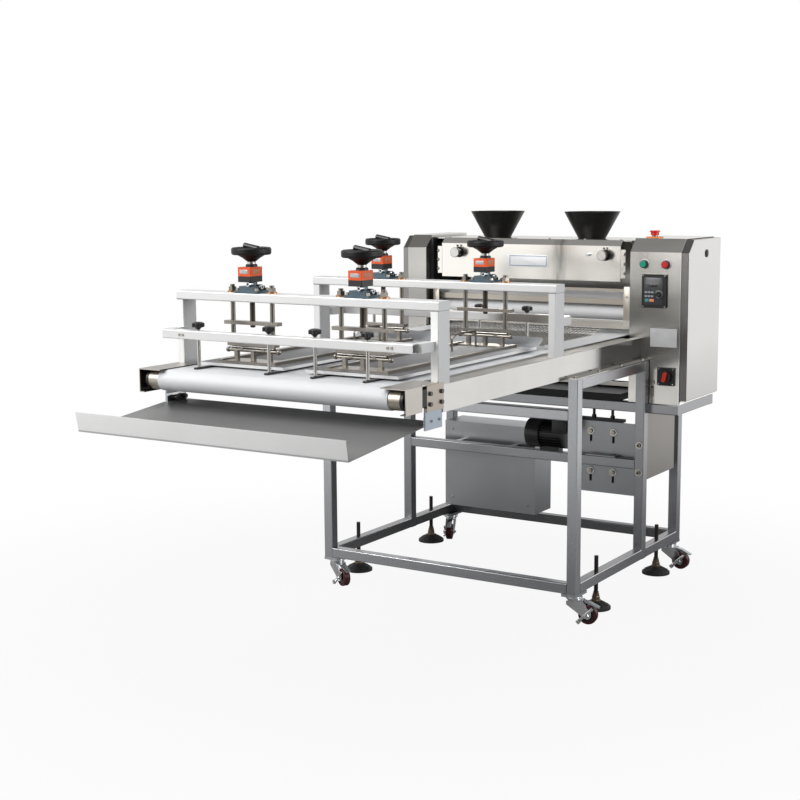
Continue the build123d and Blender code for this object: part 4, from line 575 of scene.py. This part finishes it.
# Drive units and fasteners: black motor and adjuster, dull guard, bronze bushings, dark bolts
MOTOR_SPAN = {
    "x": (MID + 0.046, MID + 0.227), "y": (FRONT + 0.50, FRONT + 0.665), "z": (0.5225, 0.66),
}
ADJUSTER_SPAN = {"x": (MID + 0.2395, MID + 0.4651), "z": (0.6585, 0.75)}
SPLICE_SPAN = {"x": (MID + 0.52, MID + 0.56), "y": (FRONT - 1.0, FRONT - 0.82)}
GUARD_INSIDE, BUSHING_HEIGHT = MID + 0.521, (1.2655, 1.2712)
layered(
    "drive_units", ((0.36, 0.365, 0.38), 0.30, 0.85),
    (lambda k: k.inside(**MOTOR_SPAN), BLACK),
    (lambda k: k.inside(**ADJUSTER_SPAN), BLACK),
    (lambda k: k.above("x", GUARD_INSIDE), ((0.27, 0.255, 0.24), 0.32, 1.0)),
    cloud=(3.0, 0.05), grain=(1400.0, 0.05),
)
layered(
    "fasteners", ((0.40, 0.37, 0.32), 0.26, 1.0),
    (lambda k: k.inside(z=BUSHING_HEIGHT), ((0.50, 0.25, 0.11), 0.32, 1.0)),
    (lambda k: k.inside(**SPLICE_SPAN), ((0.14, 0.135, 0.13), 0.32, 1.0)),
    cloud=(60.0, 0.10), grain=(1500.0, 0.05),
)

# Materials of the solids, by name or by the start of the name
plan = {
    "base_frame": "frame_enamel", "conveyor_frame": "channel_steel", "belt": "belt_white",
    "nose_plates": "nose_plates", "discharge_tray": "tray_steel", "bridges": "bridge_satin",
    "jack_units": "jack_unit", "guide_tubes": "guide_satin", "housings": "housing_brushed",
    "control_plates": "controls", "head_frame": "head_plates", "head_cover": "hood_brushed",
    "scraper_bars": "steel_bars", "curling_mat": "mesh_wire", "funnels": "funnel_black",
    "drive_units": "drive_units", "fasteners": "fasteners", "drive_roller": "steel_turned",
    "nose_roller": "roller_warm", "sheeting_roller_lower": "roller_white",
    "sheeting_roller_upper": "roller_white", "housing_cover_right": "cover_brushed",
    "housing_cover_left": "cover_brushed", "cover_lock": "black_plastic",
    "start_button": "button_green", "stop_button": "button_red", "emergency_stop": "stop_red",
    "isolator_handle": "isolator", "speed_knob": "black_plastic",
    "gap_knob_left": "gap_knob_left", "gap_knob_right": "gap_knob_right",
    "index_plunger": "zinc_plated", "crumb_tray": "tray_dark",
}
families = {
    "castor_fork": "zinc_plated", "levelling_foot": "levelling_foot", "handwheel": "handwheel",
    "fold_grip": "black_plastic", "lane_guide": "lane_guide", "press_board": "press_board",
}
for name, obj in nodes.items():
    key = plan.get(name) or name.replace("castor_wheel", "castor")
    if key not in mats:
        key = next(look for start, look in families.items() if name.startswith(start))
    obj.data.materials.clear()
    obj.data.materials.append(mats[key])

# Eased edges on the sheet housings, which catch the light
weld = nodes["housings"].modifiers.new("weld", "WELD")
weld.merge_threshold = 0.00002
soft = nodes["housings"].modifiers.new("soft_edges", "BEVEL")
soft.width = 0.0015
soft.segments = 3
soft.limit_method = "ANGLE"
soft.angle_limit = math.radians(35)
soft.harden_normals = True

# Mesh tools for the small pieces
SURFACES = {
    "front": ((1, 0, 0), (0, 0, 1), (0, -1, 0)),
    "right": ((0, 1, 0), (0, 0, 1), (1, 0, 0)),
    "left": ((0, -1, 0), (0, 0, 1), (-1, 0, 0)),
    "back": ((-1, 0, 0), (0, 0, 1), (0, 1, 0)),
    "top": ((1, 0, 0), (0, 1, 0), (0, 0, 1)),
}


def at(x, y, z, surface="front"):
    """Frame on a surface: its x and y lie in the surface, and its z stands off it."""
    return Matrix.Translation((x, y, z)) @ Matrix(SURFACES[surface]).transposed().to_4x4()


def panel(w, h, r, steps=4):
    """Outline of a rounded rectangle as a function of its inset."""
    def outline(inset):
        corner = max(r - inset, 0.0001)
        points = []
        for k, (sx, sy) in enumerate(((1, 1), (-1, 1), (-1, -1), (1, -1))):
            for s in range(steps + 1):
                turn = math.pi / 2 * (k + s / steps)
                points.append((sx * (w / 2 - inset - corner) + corner * math.cos(turn),
                               sy * (h / 2 - inset - corner) + corner * math.sin(turn)))
        return points
    return outline


def disc(r, steps=24):
    """Outline of a circle or regular polygon as a function of its inset."""
    turns = [math.tau * s / steps for s in range(steps)]
    return lambda inset: [((r - inset) * math.cos(t), (r - inset) * math.sin(t)) for t in turns]


def plate(points):
    """Outline of a polygon as a function of its inset, drawn in towards its middle."""
    cx, cy = (sum(p[k] for p in points) / len(points) for k in (0, 1))
    reach = max(math.hypot(x - cx, y - cy) for x, y in points)

    def outline(inset):
        share = 1 - inset / reach
        return [(cx + (x - cx) * share, cy + (y - cy) * share) for x, y in points]
    return outline


def skin(bm, rings, ends=True):
    """Joins rings of points into a skin, capped at both ends or else closed on itself."""
    rows = [[bm.verts.new(p) for p in ring] for ring in rings]
    pairs = list(zip(rows, rows[1:])) + ([] if ends else [(rows[-1], rows[0])])
    for a, b in pairs:
        for i in range(len(a)):
            bm.faces.new((a[i - 1], a[i], b[i], b[i - 1]))
    if ends:
        bm.faces.new(reversed(rows[0]))
        bm.faces.new(rows[-1])


def lifted(place, points, h):
    """Points of an outline at a height over a frame."""
    return [place @ Vector((x, y, h)) for x, y in points]


def slab(place, outline, t, edge, sunk=0.0):
    """Plate of an outline, t proud of a surface and sunk below it, with an eased edge."""
    levels = ((0.0, -sunk), (0.0, t - edge), (edge * 0.3, t - edge * 0.3), (edge, t))
    return lambda bm: skin(bm, [lifted(place, outline(inset), h) for inset, h in levels])


def turned(place, profile, steps=24, ends=True):
    """Lathed form of radius and height pairs."""
    return lambda bm: skin(bm, [lifted(place, disc(r, steps)(0), h) for r, h in profile], ends)


def band(place, r_in, r_out, t):
    """Flat ring with eased edges."""
    e = t * 0.3
    loop = ((r_in, 0), (r_out, 0), (r_out, t - e), (r_out - e, t), (r_in + e, t), (r_in, t - e))
    return turned(place, loop, 32, ends=False)


def screw(place, r, h):
    """Round screw head with a hexagon socket."""
    s = r * 0.5
    head = ((r, -0.0004), (r, h * 0.6), (r * 0.86, h), (s * 1.16, h))
    socket = ((s, h - 0.0001), (s, h + 0.00015), (s * 0.8, h + 0.0002))

    def make(bm):
        turned(place, head, 18)(bm)
        turned(place, socket, 6)(bm)
    return make


def cap(place, r, h, sunk=0.0004):
    """Round cap screw head with an eased rim."""
    return turned(place, ((r, -sunk), (r, h * 0.8), (r * 0.9, h), (r * 0.5, h)), 20)


def recess(place, r, h=0.0):
    """Dark hexagon in the top of a screw head, painted as the shade in its socket."""
    return turned(place, ((r, h - 0.0002), (r, h + 0.0001), (r * 0.9, h + 0.0002)), 6)


def piece(name, body, slot, look, *makers, sharp=34):
    """Builds the makers into one object that rides a body and takes a finish."""
    bm = bmesh.new()
    for make in makers:
        make(bm)
    bmesh.ops.recalc_face_normals(bm, faces=bm.faces)
    mesh = bpy.data.meshes.new(name)
    bm.to_mesh(mesh)
    bm.free()
    mesh.shade_smooth()
    mesh.set_sharp_from_angle(angle=math.radians(sharp))
    mesh.materials.append(mats[look])
    obj = bpy.data.objects.new(name, mesh)
    bpy.context.scene.collection.objects.link(obj)
    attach(obj, body)
    return obj


def middle(node):
    low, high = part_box(node)
    return (low + high) / 2


# Keypad of the drive panel: a sheet with a field, a display, keys and a ring round the speed knob
knob = middle("speed_knob")
PANEL = (knob.x - 0.021, FACE - 0.010, knob.z + 0.012)
SHEET_T, FIELD_T = 0.0009, 0.0004
KEY_ROWS, KEY_COLUMNS = (-0.005, -0.0205), (-0.0325, -0.0195, -0.0065)


def on_panel(dx, dz, lift=0.0):
    return at(PANEL[0] + dx, PANEL[1] - lift, PANEL[2] + dz)


def on_sheet(dx, dz):
    return on_panel(dx, dz, SHEET_T)


piece("keypad_sheet", "frame", "black_plastic", "keypad",
      slab(on_panel(-0.002, 0), panel(0.078, 0.106, 0.004), SHEET_T, 0.0003))
piece("keypad_field", "frame", "black_plastic", "key_grey",
      slab(on_sheet(-0.003, 0.0215), panel(0.062, 0.025, 0.007), FIELD_T, 0.0002))
piece("keypad_display", "frame", "black_plastic", "display",
      slab(on_panel(-0.003, 0.0215, SHEET_T + FIELD_T), panel(0.036, 0.0075, 0.001),
           0.0006, 0.0002))
piece("keypad_keys", "frame", "zinc", "key_pale", *(
    slab(on_sheet(dx, dz), panel(0.0105, 0.0062, 0.0014), 0.0008, 0.0003)
    for dz in KEY_ROWS for dx in KEY_COLUMNS))
piece("keypad_run_key", "frame", "green", "key_teal",
      slab(on_sheet(-0.0285, -0.037), panel(0.016, 0.0105, 0.002), 0.0010, 0.0004))
piece("keypad_stop_key", "frame", "red", "key_orange",
      slab(on_sheet(-0.0085, -0.037), panel(0.019, 0.0105, 0.002), 0.0010, 0.0004))
piece("keypad_dial_ring", "frame", "zinc", "key_pale",
      band(on_sheet(0.021, -0.012), 0.0128, 0.0152, 0.0006))
piece("keypad_corner_screws", "frame", "zinc", "zinc_plated", *(
    screw(on_panel(sx * 0.0455, sz * 0.061), 0.0027, 0.0014) for sx, sz in FOUR))
piece("keypad_inner_screws", "frame", "black_plastic", "black_plastic", *(
    screw(on_sheet(-0.002 + sx * 0.033, sz * 0.0475), 0.0026, 0.0012) for sx, sz in FOUR))

# Rings of the push buttons, and fixings of the data plate and the main switch
DATA = (MID + 0.620, FACE - 0.0012, 1.012)
RIVET = ((0.0022, -0.0004), (0.0022, 0.0004), (0.0016, 0.0010), (0.0006, 0.0013))
SWITCH_FRONT, SWITCH_SCREWS = FACE - 0.008, 0.030
for name in ("start", "stop"):
    spot = middle(f"{name}_button")
    piece(f"{name}_button_ring", "frame", "zinc", "plate_pale",
          band(at(spot.x, FACE, spot.z), 0.0163, 0.0205, 0.0012))
piece("data_plate_rivets", "frame", "zinc", "zinc_plated", *(
    turned(at(DATA[0] + sx * 0.0505, DATA[1], DATA[2] + sz * 0.0315), RIVET, 14)
    for sx, sz in FOUR))
dial = middle("isolator_handle")
piece("isolator_screws", "frame", "zinc", "zinc_plated", *(
    screw(at(dial.x + sx * SWITCH_SCREWS, SWITCH_FRONT, dial.z + sz * SWITCH_SCREWS),
          0.0026, 0.0012) for sx, sz in FOUR))

# Bare plate with a thin border on the hood, and dark collars behind the gap knobs
SIGN_Z, SIGN_T = 1.2995, 0.0010
BORDER_W, BORDER_T = 0.0022, 0.0004
border = panel(0.172, 0.042, 0.002)
border_loop = ((0.0, 0.0), (BORDER_W, 0.0), (BORDER_W, BORDER_T), (0.0, BORDER_T))
piece("hood_plate", "frame", "bright_aluminium", "plate_pale",
      slab(at(MID, HOOD, SIGN_Z), panel(0.182, 0.051, 0.003), SIGN_T, 0.0003))
piece("hood_plate_border", "frame", "stainless", "border_blue", lambda bm: skin(bm, [
    lifted(at(MID, HOOD - SIGN_T, SIGN_Z), border(inset), h) for inset, h in border_loop],
    ends=False))
for side in SIDES:
    x, _, z = joints[f"gap_{side}"]["pos_m"]
    piece(f"gap_collar_{side}", "frame", "black_plastic", "black_plastic",
          band(at(x, HOOD, z), 0.0115, 0.0230, 0.0016))

# Jacks: a window and a bare panel on the indicator, a collar over it, and clamp screws below it
INDICATOR_Z = JACK_TOP - 0.015
CLAMP_HEAD, CLAMP_DEEP = 0.008, 0.014
for end, y in BRIDGES.items():
    for side, x in LANES.items():
        corner = f"{end}_{side}"
        piece(f"indicator_window_{corner}", "frame", "white_plastic", "window_pale",
              slab(at(x, y - 0.042, INDICATOR_Z), panel(0.034, 0.013, 0.0025), 0.0009, 0.0003))
        piece(f"indicator_panel_{corner}", "frame", "white_plastic", "indicator_side",
              slab(at(x + 0.027, y - 0.009, INDICATOR_Z, "right"), panel(0.040, 0.015, 0.0025),
                   0.0008, 0.0003))
        piece(f"jack_collar_{corner}", "frame", "dark_plate", "casting_blue",
              band(at(x, y, JACK_TOP, "top"), 0.0146, 0.0200, 0.0085))
        heads = (at(x + 0.012, y - 0.031, JACK_TOP - 0.0565),
                 at(x + 0.031, y + 0.006, JACK_TOP - 0.067, "right"))
        piece(f"jack_clamp_screws_{corner}", "frame", "zinc", "zinc_plated",
              *(cap(head, 0.0086, CLAMP_HEAD, CLAMP_DEEP) for head in heads))
        # Dark hexagons on the clamp screws, painted as the shade in their sockets
        piece(f"jack_clamp_sockets_{corner}", "frame", "black_plastic", "black_plastic",
              *(recess(head, 0.0046, CLAMP_HEAD) for head in heads))

# Press board clamps: a dark strip between the foot bar and the pivot rod, put there as painted
# shade, and a thin bright rod
CLAMP_ROD = ((0.0018, 0.0), (0.0024, 0.0008), (0.0024, 0.1872), (0.0018, 0.1880))
for end, y in BRIDGES.items():
    for side, x in LANES.items():
        # Dark strip put where there is only shade between the clamp's lugs
        shade_strip = at(x, y + 0.002, BELT + 0.0664)
        piece(f"clamp_shade_strip_{end}_{side}", f"press_board_{side}", "dark_plate", "tray_dark",
              slab(shade_strip, panel(0.184, 0.0106, 0.001), 0.0015, 0.0004, 0.0015))
        rod = at(x - 0.094, y - 0.0085, BELT + 0.0668, "right")
        piece(f"clamp_rod_{end}_{side}", f"press_board_{side}", "stainless", "steel_turned",
              turned(rod, CLAMP_ROD, 16))

# Lane guide knobs: a domed cap over the star and a tapered neck under it
KNOB_IN = 0.020
KNOB_CAP = ((0.0165, -0.0006), (0.0160, 0.0016), (0.0110, 0.0034), (0.0040, 0.0040))
KNOB_NECK = ((0.0062, -0.0220), (0.0075, -0.0190), (0.0150, -0.0128))
for name in ("left_outer", "left_inner", "right_inner", "right_outer"):
    low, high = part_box(f"lane_guide_{name}")
    makers = []
    for y in (low.y + KNOB_IN, high.y - KNOB_IN):
        top = at((low.x + high.x) / 2, y, high.z, "top")
        makers += [turned(top, KNOB_CAP, 28), turned(top, KNOB_NECK, 28)]
    piece(f"guide_knob_caps_{name}", f"lane_guide_{name}", "black_plastic", "black_plastic",
          *makers)

# Head: cream end strips under the hood, screws on its brackets and along its top edge
END_STRIP_X, END_STRIP_FACE, END_STRIP_T = 0.4455, FACE + 0.0385, 0.0035
BRACKET_X, BRACKET_ROWS = 0.4345, (1.2577, 1.2960, 1.3343)
TOP_SCREW_Y, TOP_SCREWS = FRONT + 0.735, (-0.40, -0.24, -0.08, 0.08, 0.24, 0.40)
for side, sign in SIDES.items():
    x = MID + sign * END_STRIP_X
    piece(f"head_end_strip_{side}", "frame", "stainless", "steel_bars",
          slab(at(x, END_STRIP_FACE, BELT + 0.1115), panel(0.028, 0.160, 0.0015),
               END_STRIP_T, 0.0006, END_STRIP_T),
          *(screw(at(x, END_STRIP_FACE - END_STRIP_T, BELT + up), 0.0048, 0.0028)
            for up in (0.050, 0.150)))
piece("hood_bracket_screws", "frame", "zinc", "bolt_dark", *(
    cap(at(MID + sign * BRACKET_X, HOOD, z), 0.0052, 0.0032, 0.0025)
    for sign in (-1, 1) for z in BRACKET_ROWS))
piece("head_top_screws", "frame", "zinc", "bolt_dark", *(
    cap(at(MID + dx, TOP_SCREW_Y, HEAD_TOP, "top"), 0.0046, 0.0034) for dx in TOP_SCREWS))

# Motor: fan cowl and terminal box
MOTOR_Y, MOTOR_Z = FRONT + 0.632, 0.593
BOX_X, BOX_FACE, BOX_Z, BOX_T = MID + 0.2165, MOTOR_Y - 0.066, 0.637, 0.004
COWL = ((0.0605, -0.062), (0.0605, -0.006), (0.0585, 0.0005), (0.0460, 0.0042),
        (0.0450, 0.0034), (0.0100, 0.0034))
piece("motor_cowl", "frame", "black_plastic", "black_plastic",
      turned(at(MID + 0.050, MOTOR_Y, MOTOR_Z, "left"), COWL, 40))
piece("motor_terminal_box", "frame", "black_plastic", "black_plastic",
      slab(at(BOX_X, BOX_FACE, BOX_Z), panel(0.060, 0.050, 0.004), BOX_T, 0.0012, 0.045),
      slab(at(BOX_X, BOX_FACE - BOX_T, BOX_Z), panel(0.066, 0.056, 0.004), 0.003, 0.0010))

# Motor plate and guard: bright washers on the bolts, dark hexagons painted as the shade in their
# sockets, and dark slots behind
PLATE_X, PLATE_W, PLATE_Z, PLATE_H = MID + 0.250, 0.268, 0.364, 0.294
PLATE_FACE, PLATE_BACK = FRONT + 0.652, FRONT + 0.660
BOLT_HEAD, SLOT_DROP = 0.011, 0.028
plate_bolts = [
    (PLATE_X + PLATE_W * u, PLATE_FACE, PLATE_Z + PLATE_H * v)
    for u in (0.25, 0.62) for v in (0.30, 0.86)
]
leg_bolts = [(MID + 0.545, FRONT + 0.612, z) for z in (0.471, 0.582)]
piece("drive_bolt_washers", "frame", "zinc", "steel_turned", *(
    band(at(*bolt), 0.0095, 0.0162, 0.0036) for bolt in plate_bolts + leg_bolts))
piece("drive_bolt_sockets", "frame", "black_plastic", "black_plastic", *(
    recess(at(x, y - BOLT_HEAD, z), 0.0050) for x, y, z in leg_bolts))
piece("motor_plate_slots", "frame", "dark_plate", "tray_dark", *(
    slab(at(x, PLATE_BACK, z - SLOT_DROP, "back"), panel(0.032, 0.084, 0.002), 0.0012, 0.0003)
    for x, _, z in plate_bolts))

# Castors: bright races, cheeks, axle nuts and brake levers
RACE_Z = 0.0995
RACE = ((0.0292, -0.0040), (0.0318, -0.0026), (0.0322, 0.0), (0.0312, 0.0026), (0.0288, 0.0036))
AXLE_NUT = ((0.0082, 0.0), (0.0082, 0.0065), (0.0070, 0.0076))
AXLE_END = ((0.0045, 0.0), (0.0045, 0.0100), (0.0038, 0.0108))
CHEEK_OUT, CHEEK_R, LEVER_T = 0.0189, 0.015, 0.0028
cheek = plate([(-0.080, 0.036), (-0.080, 0.050), (-0.024, 0.050)] + [
    (CHEEK_R * math.cos(math.radians(a)), CHEEK_R * math.sin(math.radians(a)))
    for a in range(50, -131, -30)])


def castor_trim(corner):
    """Makers of one castor's trim. The brake lever is on its right side."""
    hub, swivel = (Vector(joints[f"{kind}_{corner}"]["pos_m"]) for kind in ("roll", "swivel"))
    along = Vector((hub.x - swivel.x, hub.y - swivel.y, 0)).normalized()
    makers = [turned(at(swivel.x, swivel.y, RACE_Z, "top"), RACE, 28)]
    for sign in (1, -1):
        out = Vector((along.y, -along.x, 0)) * sign
        basis = Matrix((along, (0, 0, 1), out)).transposed().to_4x4()
        spot = Matrix.Translation(hub + out * CHEEK_OUT) @ basis
        makers += [slab(spot, cheek, 0.0016, 0.0005), turned(spot, AXLE_NUT, 6),
                   turned(spot, AXLE_END, 14)]
        if sign == 1:
            tilt = Matrix.Rotation(math.radians(45), 4, "Z")
            lever = spot @ Matrix.Translation((-0.007, 0.0005, 0.0026)) @ tilt
            pedal = lever @ Matrix.Translation((-0.034, 0, LEVER_T))
            makers += [slab(lever, panel(0.080, 0.011, 0.005), LEVER_T, 0.0008, 0.0012),
                       slab(pedal, panel(0.014, 0.016, 0.003), 0.0080, 0.0010, 0.0004)]
    return makers


# Levelling feet: a washer, a nut and a collar over the disc, and ribs down its slope
FOOT_TOP, RIBS = 0.042, 10
FOOT_WASHER = ((0.0205, -0.0004), (0.0205, 0.0030), (0.0190, 0.0042))
FOOT_NUT = ((0.0168, 0.0040), (0.0168, 0.0170), (0.0150, 0.0190))
FOOT_COLLAR = ((0.0128, 0.0188), (0.0128, 0.0270), (0.0116, 0.0285))
RIB_SECTION = ((-0.0026, -0.001), (0.0026, -0.001), (0.0018, 0.0018), (-0.0018, 0.0018))
RIB_SLOPE = ((0.0215, -0.0012), (0.0350, -0.0080), (0.0490, -0.0150))


def rib(base, turn):
    place = base @ Matrix.Rotation(turn, 4, "Z")
    return lambda bm: skin(bm, [
        [place @ Vector((r, w, h + lift)) for w, lift in RIB_SECTION] for r, h in RIB_SLOPE])


for corner in CORNERS:
    piece(f"castor_trim_{corner}", f"castor_fork_{corner}", "zinc", "chrome",
          *castor_trim(corner))
    foot = middle(f"levelling_foot_{corner}")
    base = at(foot.x, foot.y, FOOT_TOP, "top")
    piece(f"foot_nut_{corner}", f"levelling_foot_{corner}", "zinc", "bronze",
          turned(base, FOOT_WASHER, 28), turned(base, FOOT_NUT, 6), turned(base, FOOT_COLLAR, 20))
    piece(f"foot_ribs_{corner}", f"levelling_foot_{corner}", "black_plastic", "rubber_black",
          *(rib(base, math.tau * k / RIBS) for k in range(RIBS)))

# Edge strips that close the slot between the slider bed and each channel, folded down at the bed
STRIP_T, STRIP_DROP, STRIP_ENDS = 0.0015, 0.0060, (FRONT - 0.79, FRONT + 0.61)
LIP_TO_FOOT = 0.0680
strip_in = belt_hi.x - MID + 0.0028
strip_out = rail_hi.x - MID - LIP_TO_FOOT - 0.0005
strip_top = BELT - 0.0076
strip_loop = (
    (strip_in, strip_top - STRIP_DROP), (strip_in + STRIP_T, strip_top - STRIP_DROP),
    (strip_in + STRIP_T * 1.6, strip_top - STRIP_T), (strip_out, strip_top - STRIP_T),
    (strip_out, strip_top), (strip_in + STRIP_T * 0.5, strip_top),
    (strip_in, strip_top - STRIP_T * 0.5),
)


def edge_strip(sign):
    rings = [[(MID + sign * x, y, z) for x, z in strip_loop[::sign]] for y in STRIP_ENDS]
    return lambda bm: skin(bm, rings)


for side, sign in SIDES.items():
    piece(f"bed_edge_strip_{side}", "frame", "stainless", "channel_steel", edge_strip(sign))

# Curling mat: straight cross rods with a flat coil between each pair
ROD_R, ROD_PITCH = 0.0013, 0.0280
COIL_R, COIL_LIFT, COIL_PITCH = 0.0012, 0.0003, 0.0170
HALF_SHEET, MARGIN = 0.0015, 0.002
bend_y = FRONT + 0.590
level = mat_lo.z + HALF_SHEET
flat_run = bend_y - mat_lo.y
rise = Vector((mat_hi.y - bend_y, mat_hi.z - HALF_SHEET - level))


def on_mat(s, lift=0.0):
    """Point of the mat's middle line, s along it from the trailing edge."""
    if s <= flat_run:
        return mat_lo.y + s, level + lift
    part = min((s - flat_run) / rise.length, 1.0)
    across = Vector((-rise.y, rise.x)).normalized() * lift
    return bend_y + rise.x * part + across.x, level + rise.y * part + across.y


def wire(bm, points, r):
    """Four-sided wire along points that run across the mat."""
    rings = []
    for x, s, lift in points:
        section = ((s - r, lift), (s, lift + r), (s + r, lift), (s, lift - r))
        rings.append([(x, *on_mat(*corner)) for corner in section])
    skin(bm, rings)


def weave(bm):
    left, right = mat_lo.x + MARGIN, mat_hi.x - MARGIN
    rods = int((flat_run + rise.length - 2 * MARGIN) / ROD_PITCH)
    turns = int((mat_hi.x - mat_lo.x - 2 * MARGIN) / COIL_PITCH)
    for k in range(rods + 1):
        s = MARGIN + k * ROD_PITCH
        wire(bm, [(left, s, 0.0), (right, s, 0.0)], ROD_R)
        if k < rods:
            ends = ((s, -COIL_LIFT), (s + ROD_PITCH, COIL_LIFT))
            wire(bm, [(left + (n + 0.5) * COIL_PITCH / 2, *ends[n % 2])
                      for n in range(2 * turns)], COIL_R)


mesh_mat = piece("curling_mat_weave", "frame", "stainless", "mesh_wire", weave, sharp=60)
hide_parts("curling_mat")


# Stage: a pale floor in a white surround, with a dim ceiling and a dim side in reflections
def graph(tree, kinds, links):
    """Fills a node tree: kinds gives each node's type and settings, links its sockets in pairs."""
    tree.nodes.clear()
    made = {}
    for key, (kind, settings, values) in kinds.items():
        made[key] = tree.nodes.new("ShaderNode" + kind)
        for name, value in settings.items():
            setattr(made[key], name, value)
        for socket, value in values.items():
            made[key].inputs[socket].default_value = value
    for source, output, target, socket in links:
        tree.links.new(made[source].outputs[output], made[target].inputs[socket])


def span(low, high, start, end):
    """Settings of a smooth map from one range to another."""
    return "MapRange", {"interpolation_type": "SMOOTHSTEP"}, {1: low, 2: high, 3: start, 4: end}


TOWARD = ("VectorMath", {"operation": "DOT_PRODUCT"}, {1: (0.50, -0.866, 0.0)})
DIM_SIDE = span(0.62, 0.95, 1.0, 0.12)
PRODUCT = ("Math", {"operation": "MULTIPLY"}, {})
LARGER = ("Math", {"operation": "MAXIMUM"}, {})
FLOOR_REACH = 9
floor_corners = [(sx * FLOOR_REACH, sy * FLOOR_REACH, 0)
                 for sx, sy in ((-1, -1), (1, -1), (1, 1), (-1, 1))]
floor_mesh = bpy.data.meshes.new("floor")
floor_mesh.from_pydata(floor_corners, [], [(0, 1, 2, 3)])
floor = bpy.data.objects.new("floor", floor_mesh)
bpy.context.scene.collection.objects.link(floor)
floor_mat = bpy.data.materials.new("floor_pale")
floor_mat.use_nodes = True
graph(floor_mat.node_tree, {
    "out": ("OutputMaterial", {}, {}),
    "matt": ("BsdfDiffuse", {}, {"Color": (0.36, 0.36, 0.36, 1)}),
    "glow": ("Emission", {}, {"Strength": 1.0}),
    "mix": ("MixShader", {}, {}),
    "path": ("LightPath", {}, {}),
    "place": ("TexCoord", {}, {}),
    "far": ("VectorMath", {"operation": "LENGTH"}, {}),
    "way": ("VectorMath", {"operation": "NORMALIZE"}, {}),
    "toward": TOWARD,
    "dim": DIM_SIDE,
    "seen": span(1.0, 3.0, 0.92, 1.0),
    "shown": span(1.6, 5.0, 0.05, 1.0),
    "shaded": PRODUCT,
    "plain": LARGER,
    "camera": PRODUCT,
    "glossy": PRODUCT,
    "either": LARGER,
}, (
    ("place", "Object", "far", 0), ("far", "Value", "seen", 0), ("far", "Value", "shown", 0),
    ("place", "Object", "way", 0), ("way", 0, "toward", 0), ("toward", "Value", "dim", 0),
    ("shown", 0, "shaded", 0), ("dim", 0, "shaded", 1),
    ("path", "Is Camera Ray", "plain", 0), ("path", "Is Transmission Ray", "plain", 1),
    ("plain", 0, "camera", 0), ("seen", 0, "camera", 1),
    ("path", "Is Glossy Ray", "glossy", 0), ("shaded", 0, "glossy", 1),
    ("camera", 0, "either", 0), ("glossy", 0, "either", 1), ("either", 0, "mix", 0),
    ("matt", 0, "mix", 1), ("glow", 0, "mix", 2), ("mix", 0, "out", 0),
))
floor_mesh.materials.append(floor_mat)

world = bpy.data.worlds.new("studio")
bpy.context.scene.world = world
world.use_nodes = True
graph(world.node_tree, {
    "out": ("OutputWorld", {}, {}),
    "seen": ("Background", {}, {"Strength": 1.0}),
    "fill": ("Background", {}, {"Color": (0.97, 0.98, 1.0, 1), "Strength": 0.16}),
    "mix": ("MixShader", {}, {}),
    "path": ("LightPath", {}, {}),
    "place": ("TexCoord", {}, {}),
    "split": ("SeparateXYZ", {}, {}),
    "roof": span(0.15, 0.90, 1.0, 0.24),
    "toward": TOWARD,
    "dim": DIM_SIDE,
    "shaded": PRODUCT,
    "grey": ("CombineXYZ", {}, {}),
    "tint": ("Mix", {"data_type": "RGBA"}, {6: (1, 1, 1, 1)}),
    "any": LARGER,
    "all": LARGER,
}, (
    ("place", "Generated", "split", 0), ("split", "Z", "roof", 0),
    ("place", "Generated", "toward", 0), ("toward", "Value", "dim", 0),
    ("roof", 0, "shaded", 0), ("dim", 0, "shaded", 1),
    ("shaded", 0, "grey", 0), ("shaded", 0, "grey", 1), ("shaded", 0, "grey", 2),
    ("grey", 0, "tint", 7), ("path", "Is Glossy Ray", "tint", "Factor"),
    ("tint", 2, "seen", "Color"),
    ("path", "Is Camera Ray", "any", 0), ("path", "Is Glossy Ray", "any", 1),
    ("any", 0, "all", 0), ("path", "Is Transmission Ray", "all", 1), ("all", 0, "mix", 0),
    ("fill", 0, "mix", 1), ("seen", 0, "mix", 2), ("mix", 0, "out", 0),
))


def lamp(name, place, target, size, power):
    data = bpy.data.lights.new(name, "AREA")
    data.shape = "RECTANGLE"
    data.size, data.size_y = size
    data.energy = power
    obj = bpy.data.objects.new(name, data)
    obj.location = place
    toward = Vector(target) - Vector(place)
    obj.rotation_euler = toward.to_track_quat("-Z", "Y").to_euler()
    bpy.context.scene.collection.objects.link(obj)


lamp("key", (-2.5, -4.1, 3.4), (0.0, 0.0, 0.7), (2.8, 2.2), 180)
lamp("top", (-0.4, -1.9, 4.2), (0.0, 0.0, 0.9), (3.0, 2.2), 80)
lamp("side", (4.6, 0.8, 2.4), (0.2, 0.2, 0.9), (2.4, 2.0), 115)

# Camera at the photograph's place, from its right, down and forward directions
right = Vector((0.84529912, 0.53424546, -0.00715473))
down = Vector((0.07305361, -0.12883213, -0.98897192))
ahead = Vector((-0.52927552, 0.83545441, -0.14793024))
camera_place = Vector((MID + 2.82354, FRONT - 4.76416, 1.63377))
camera_data = bpy.data.cameras.new("camera")
camera_data.sensor_width = 36.0
camera_data.lens = 66.03
camera = bpy.data.objects.new("camera", camera_data)
camera.matrix_world = Matrix((
    (right.x, -down.x, -ahead.x, camera_place.x),
    (right.y, -down.y, -ahead.y, camera_place.y),
    (right.z, -down.z, -ahead.z, camera_place.z),
    (0, 0, 0, 1),
))
bpy.context.scene.collection.objects.link(camera)
bpy.context.scene.camera = camera
bpy.context.scene.view_settings.view_transform = "Standard"
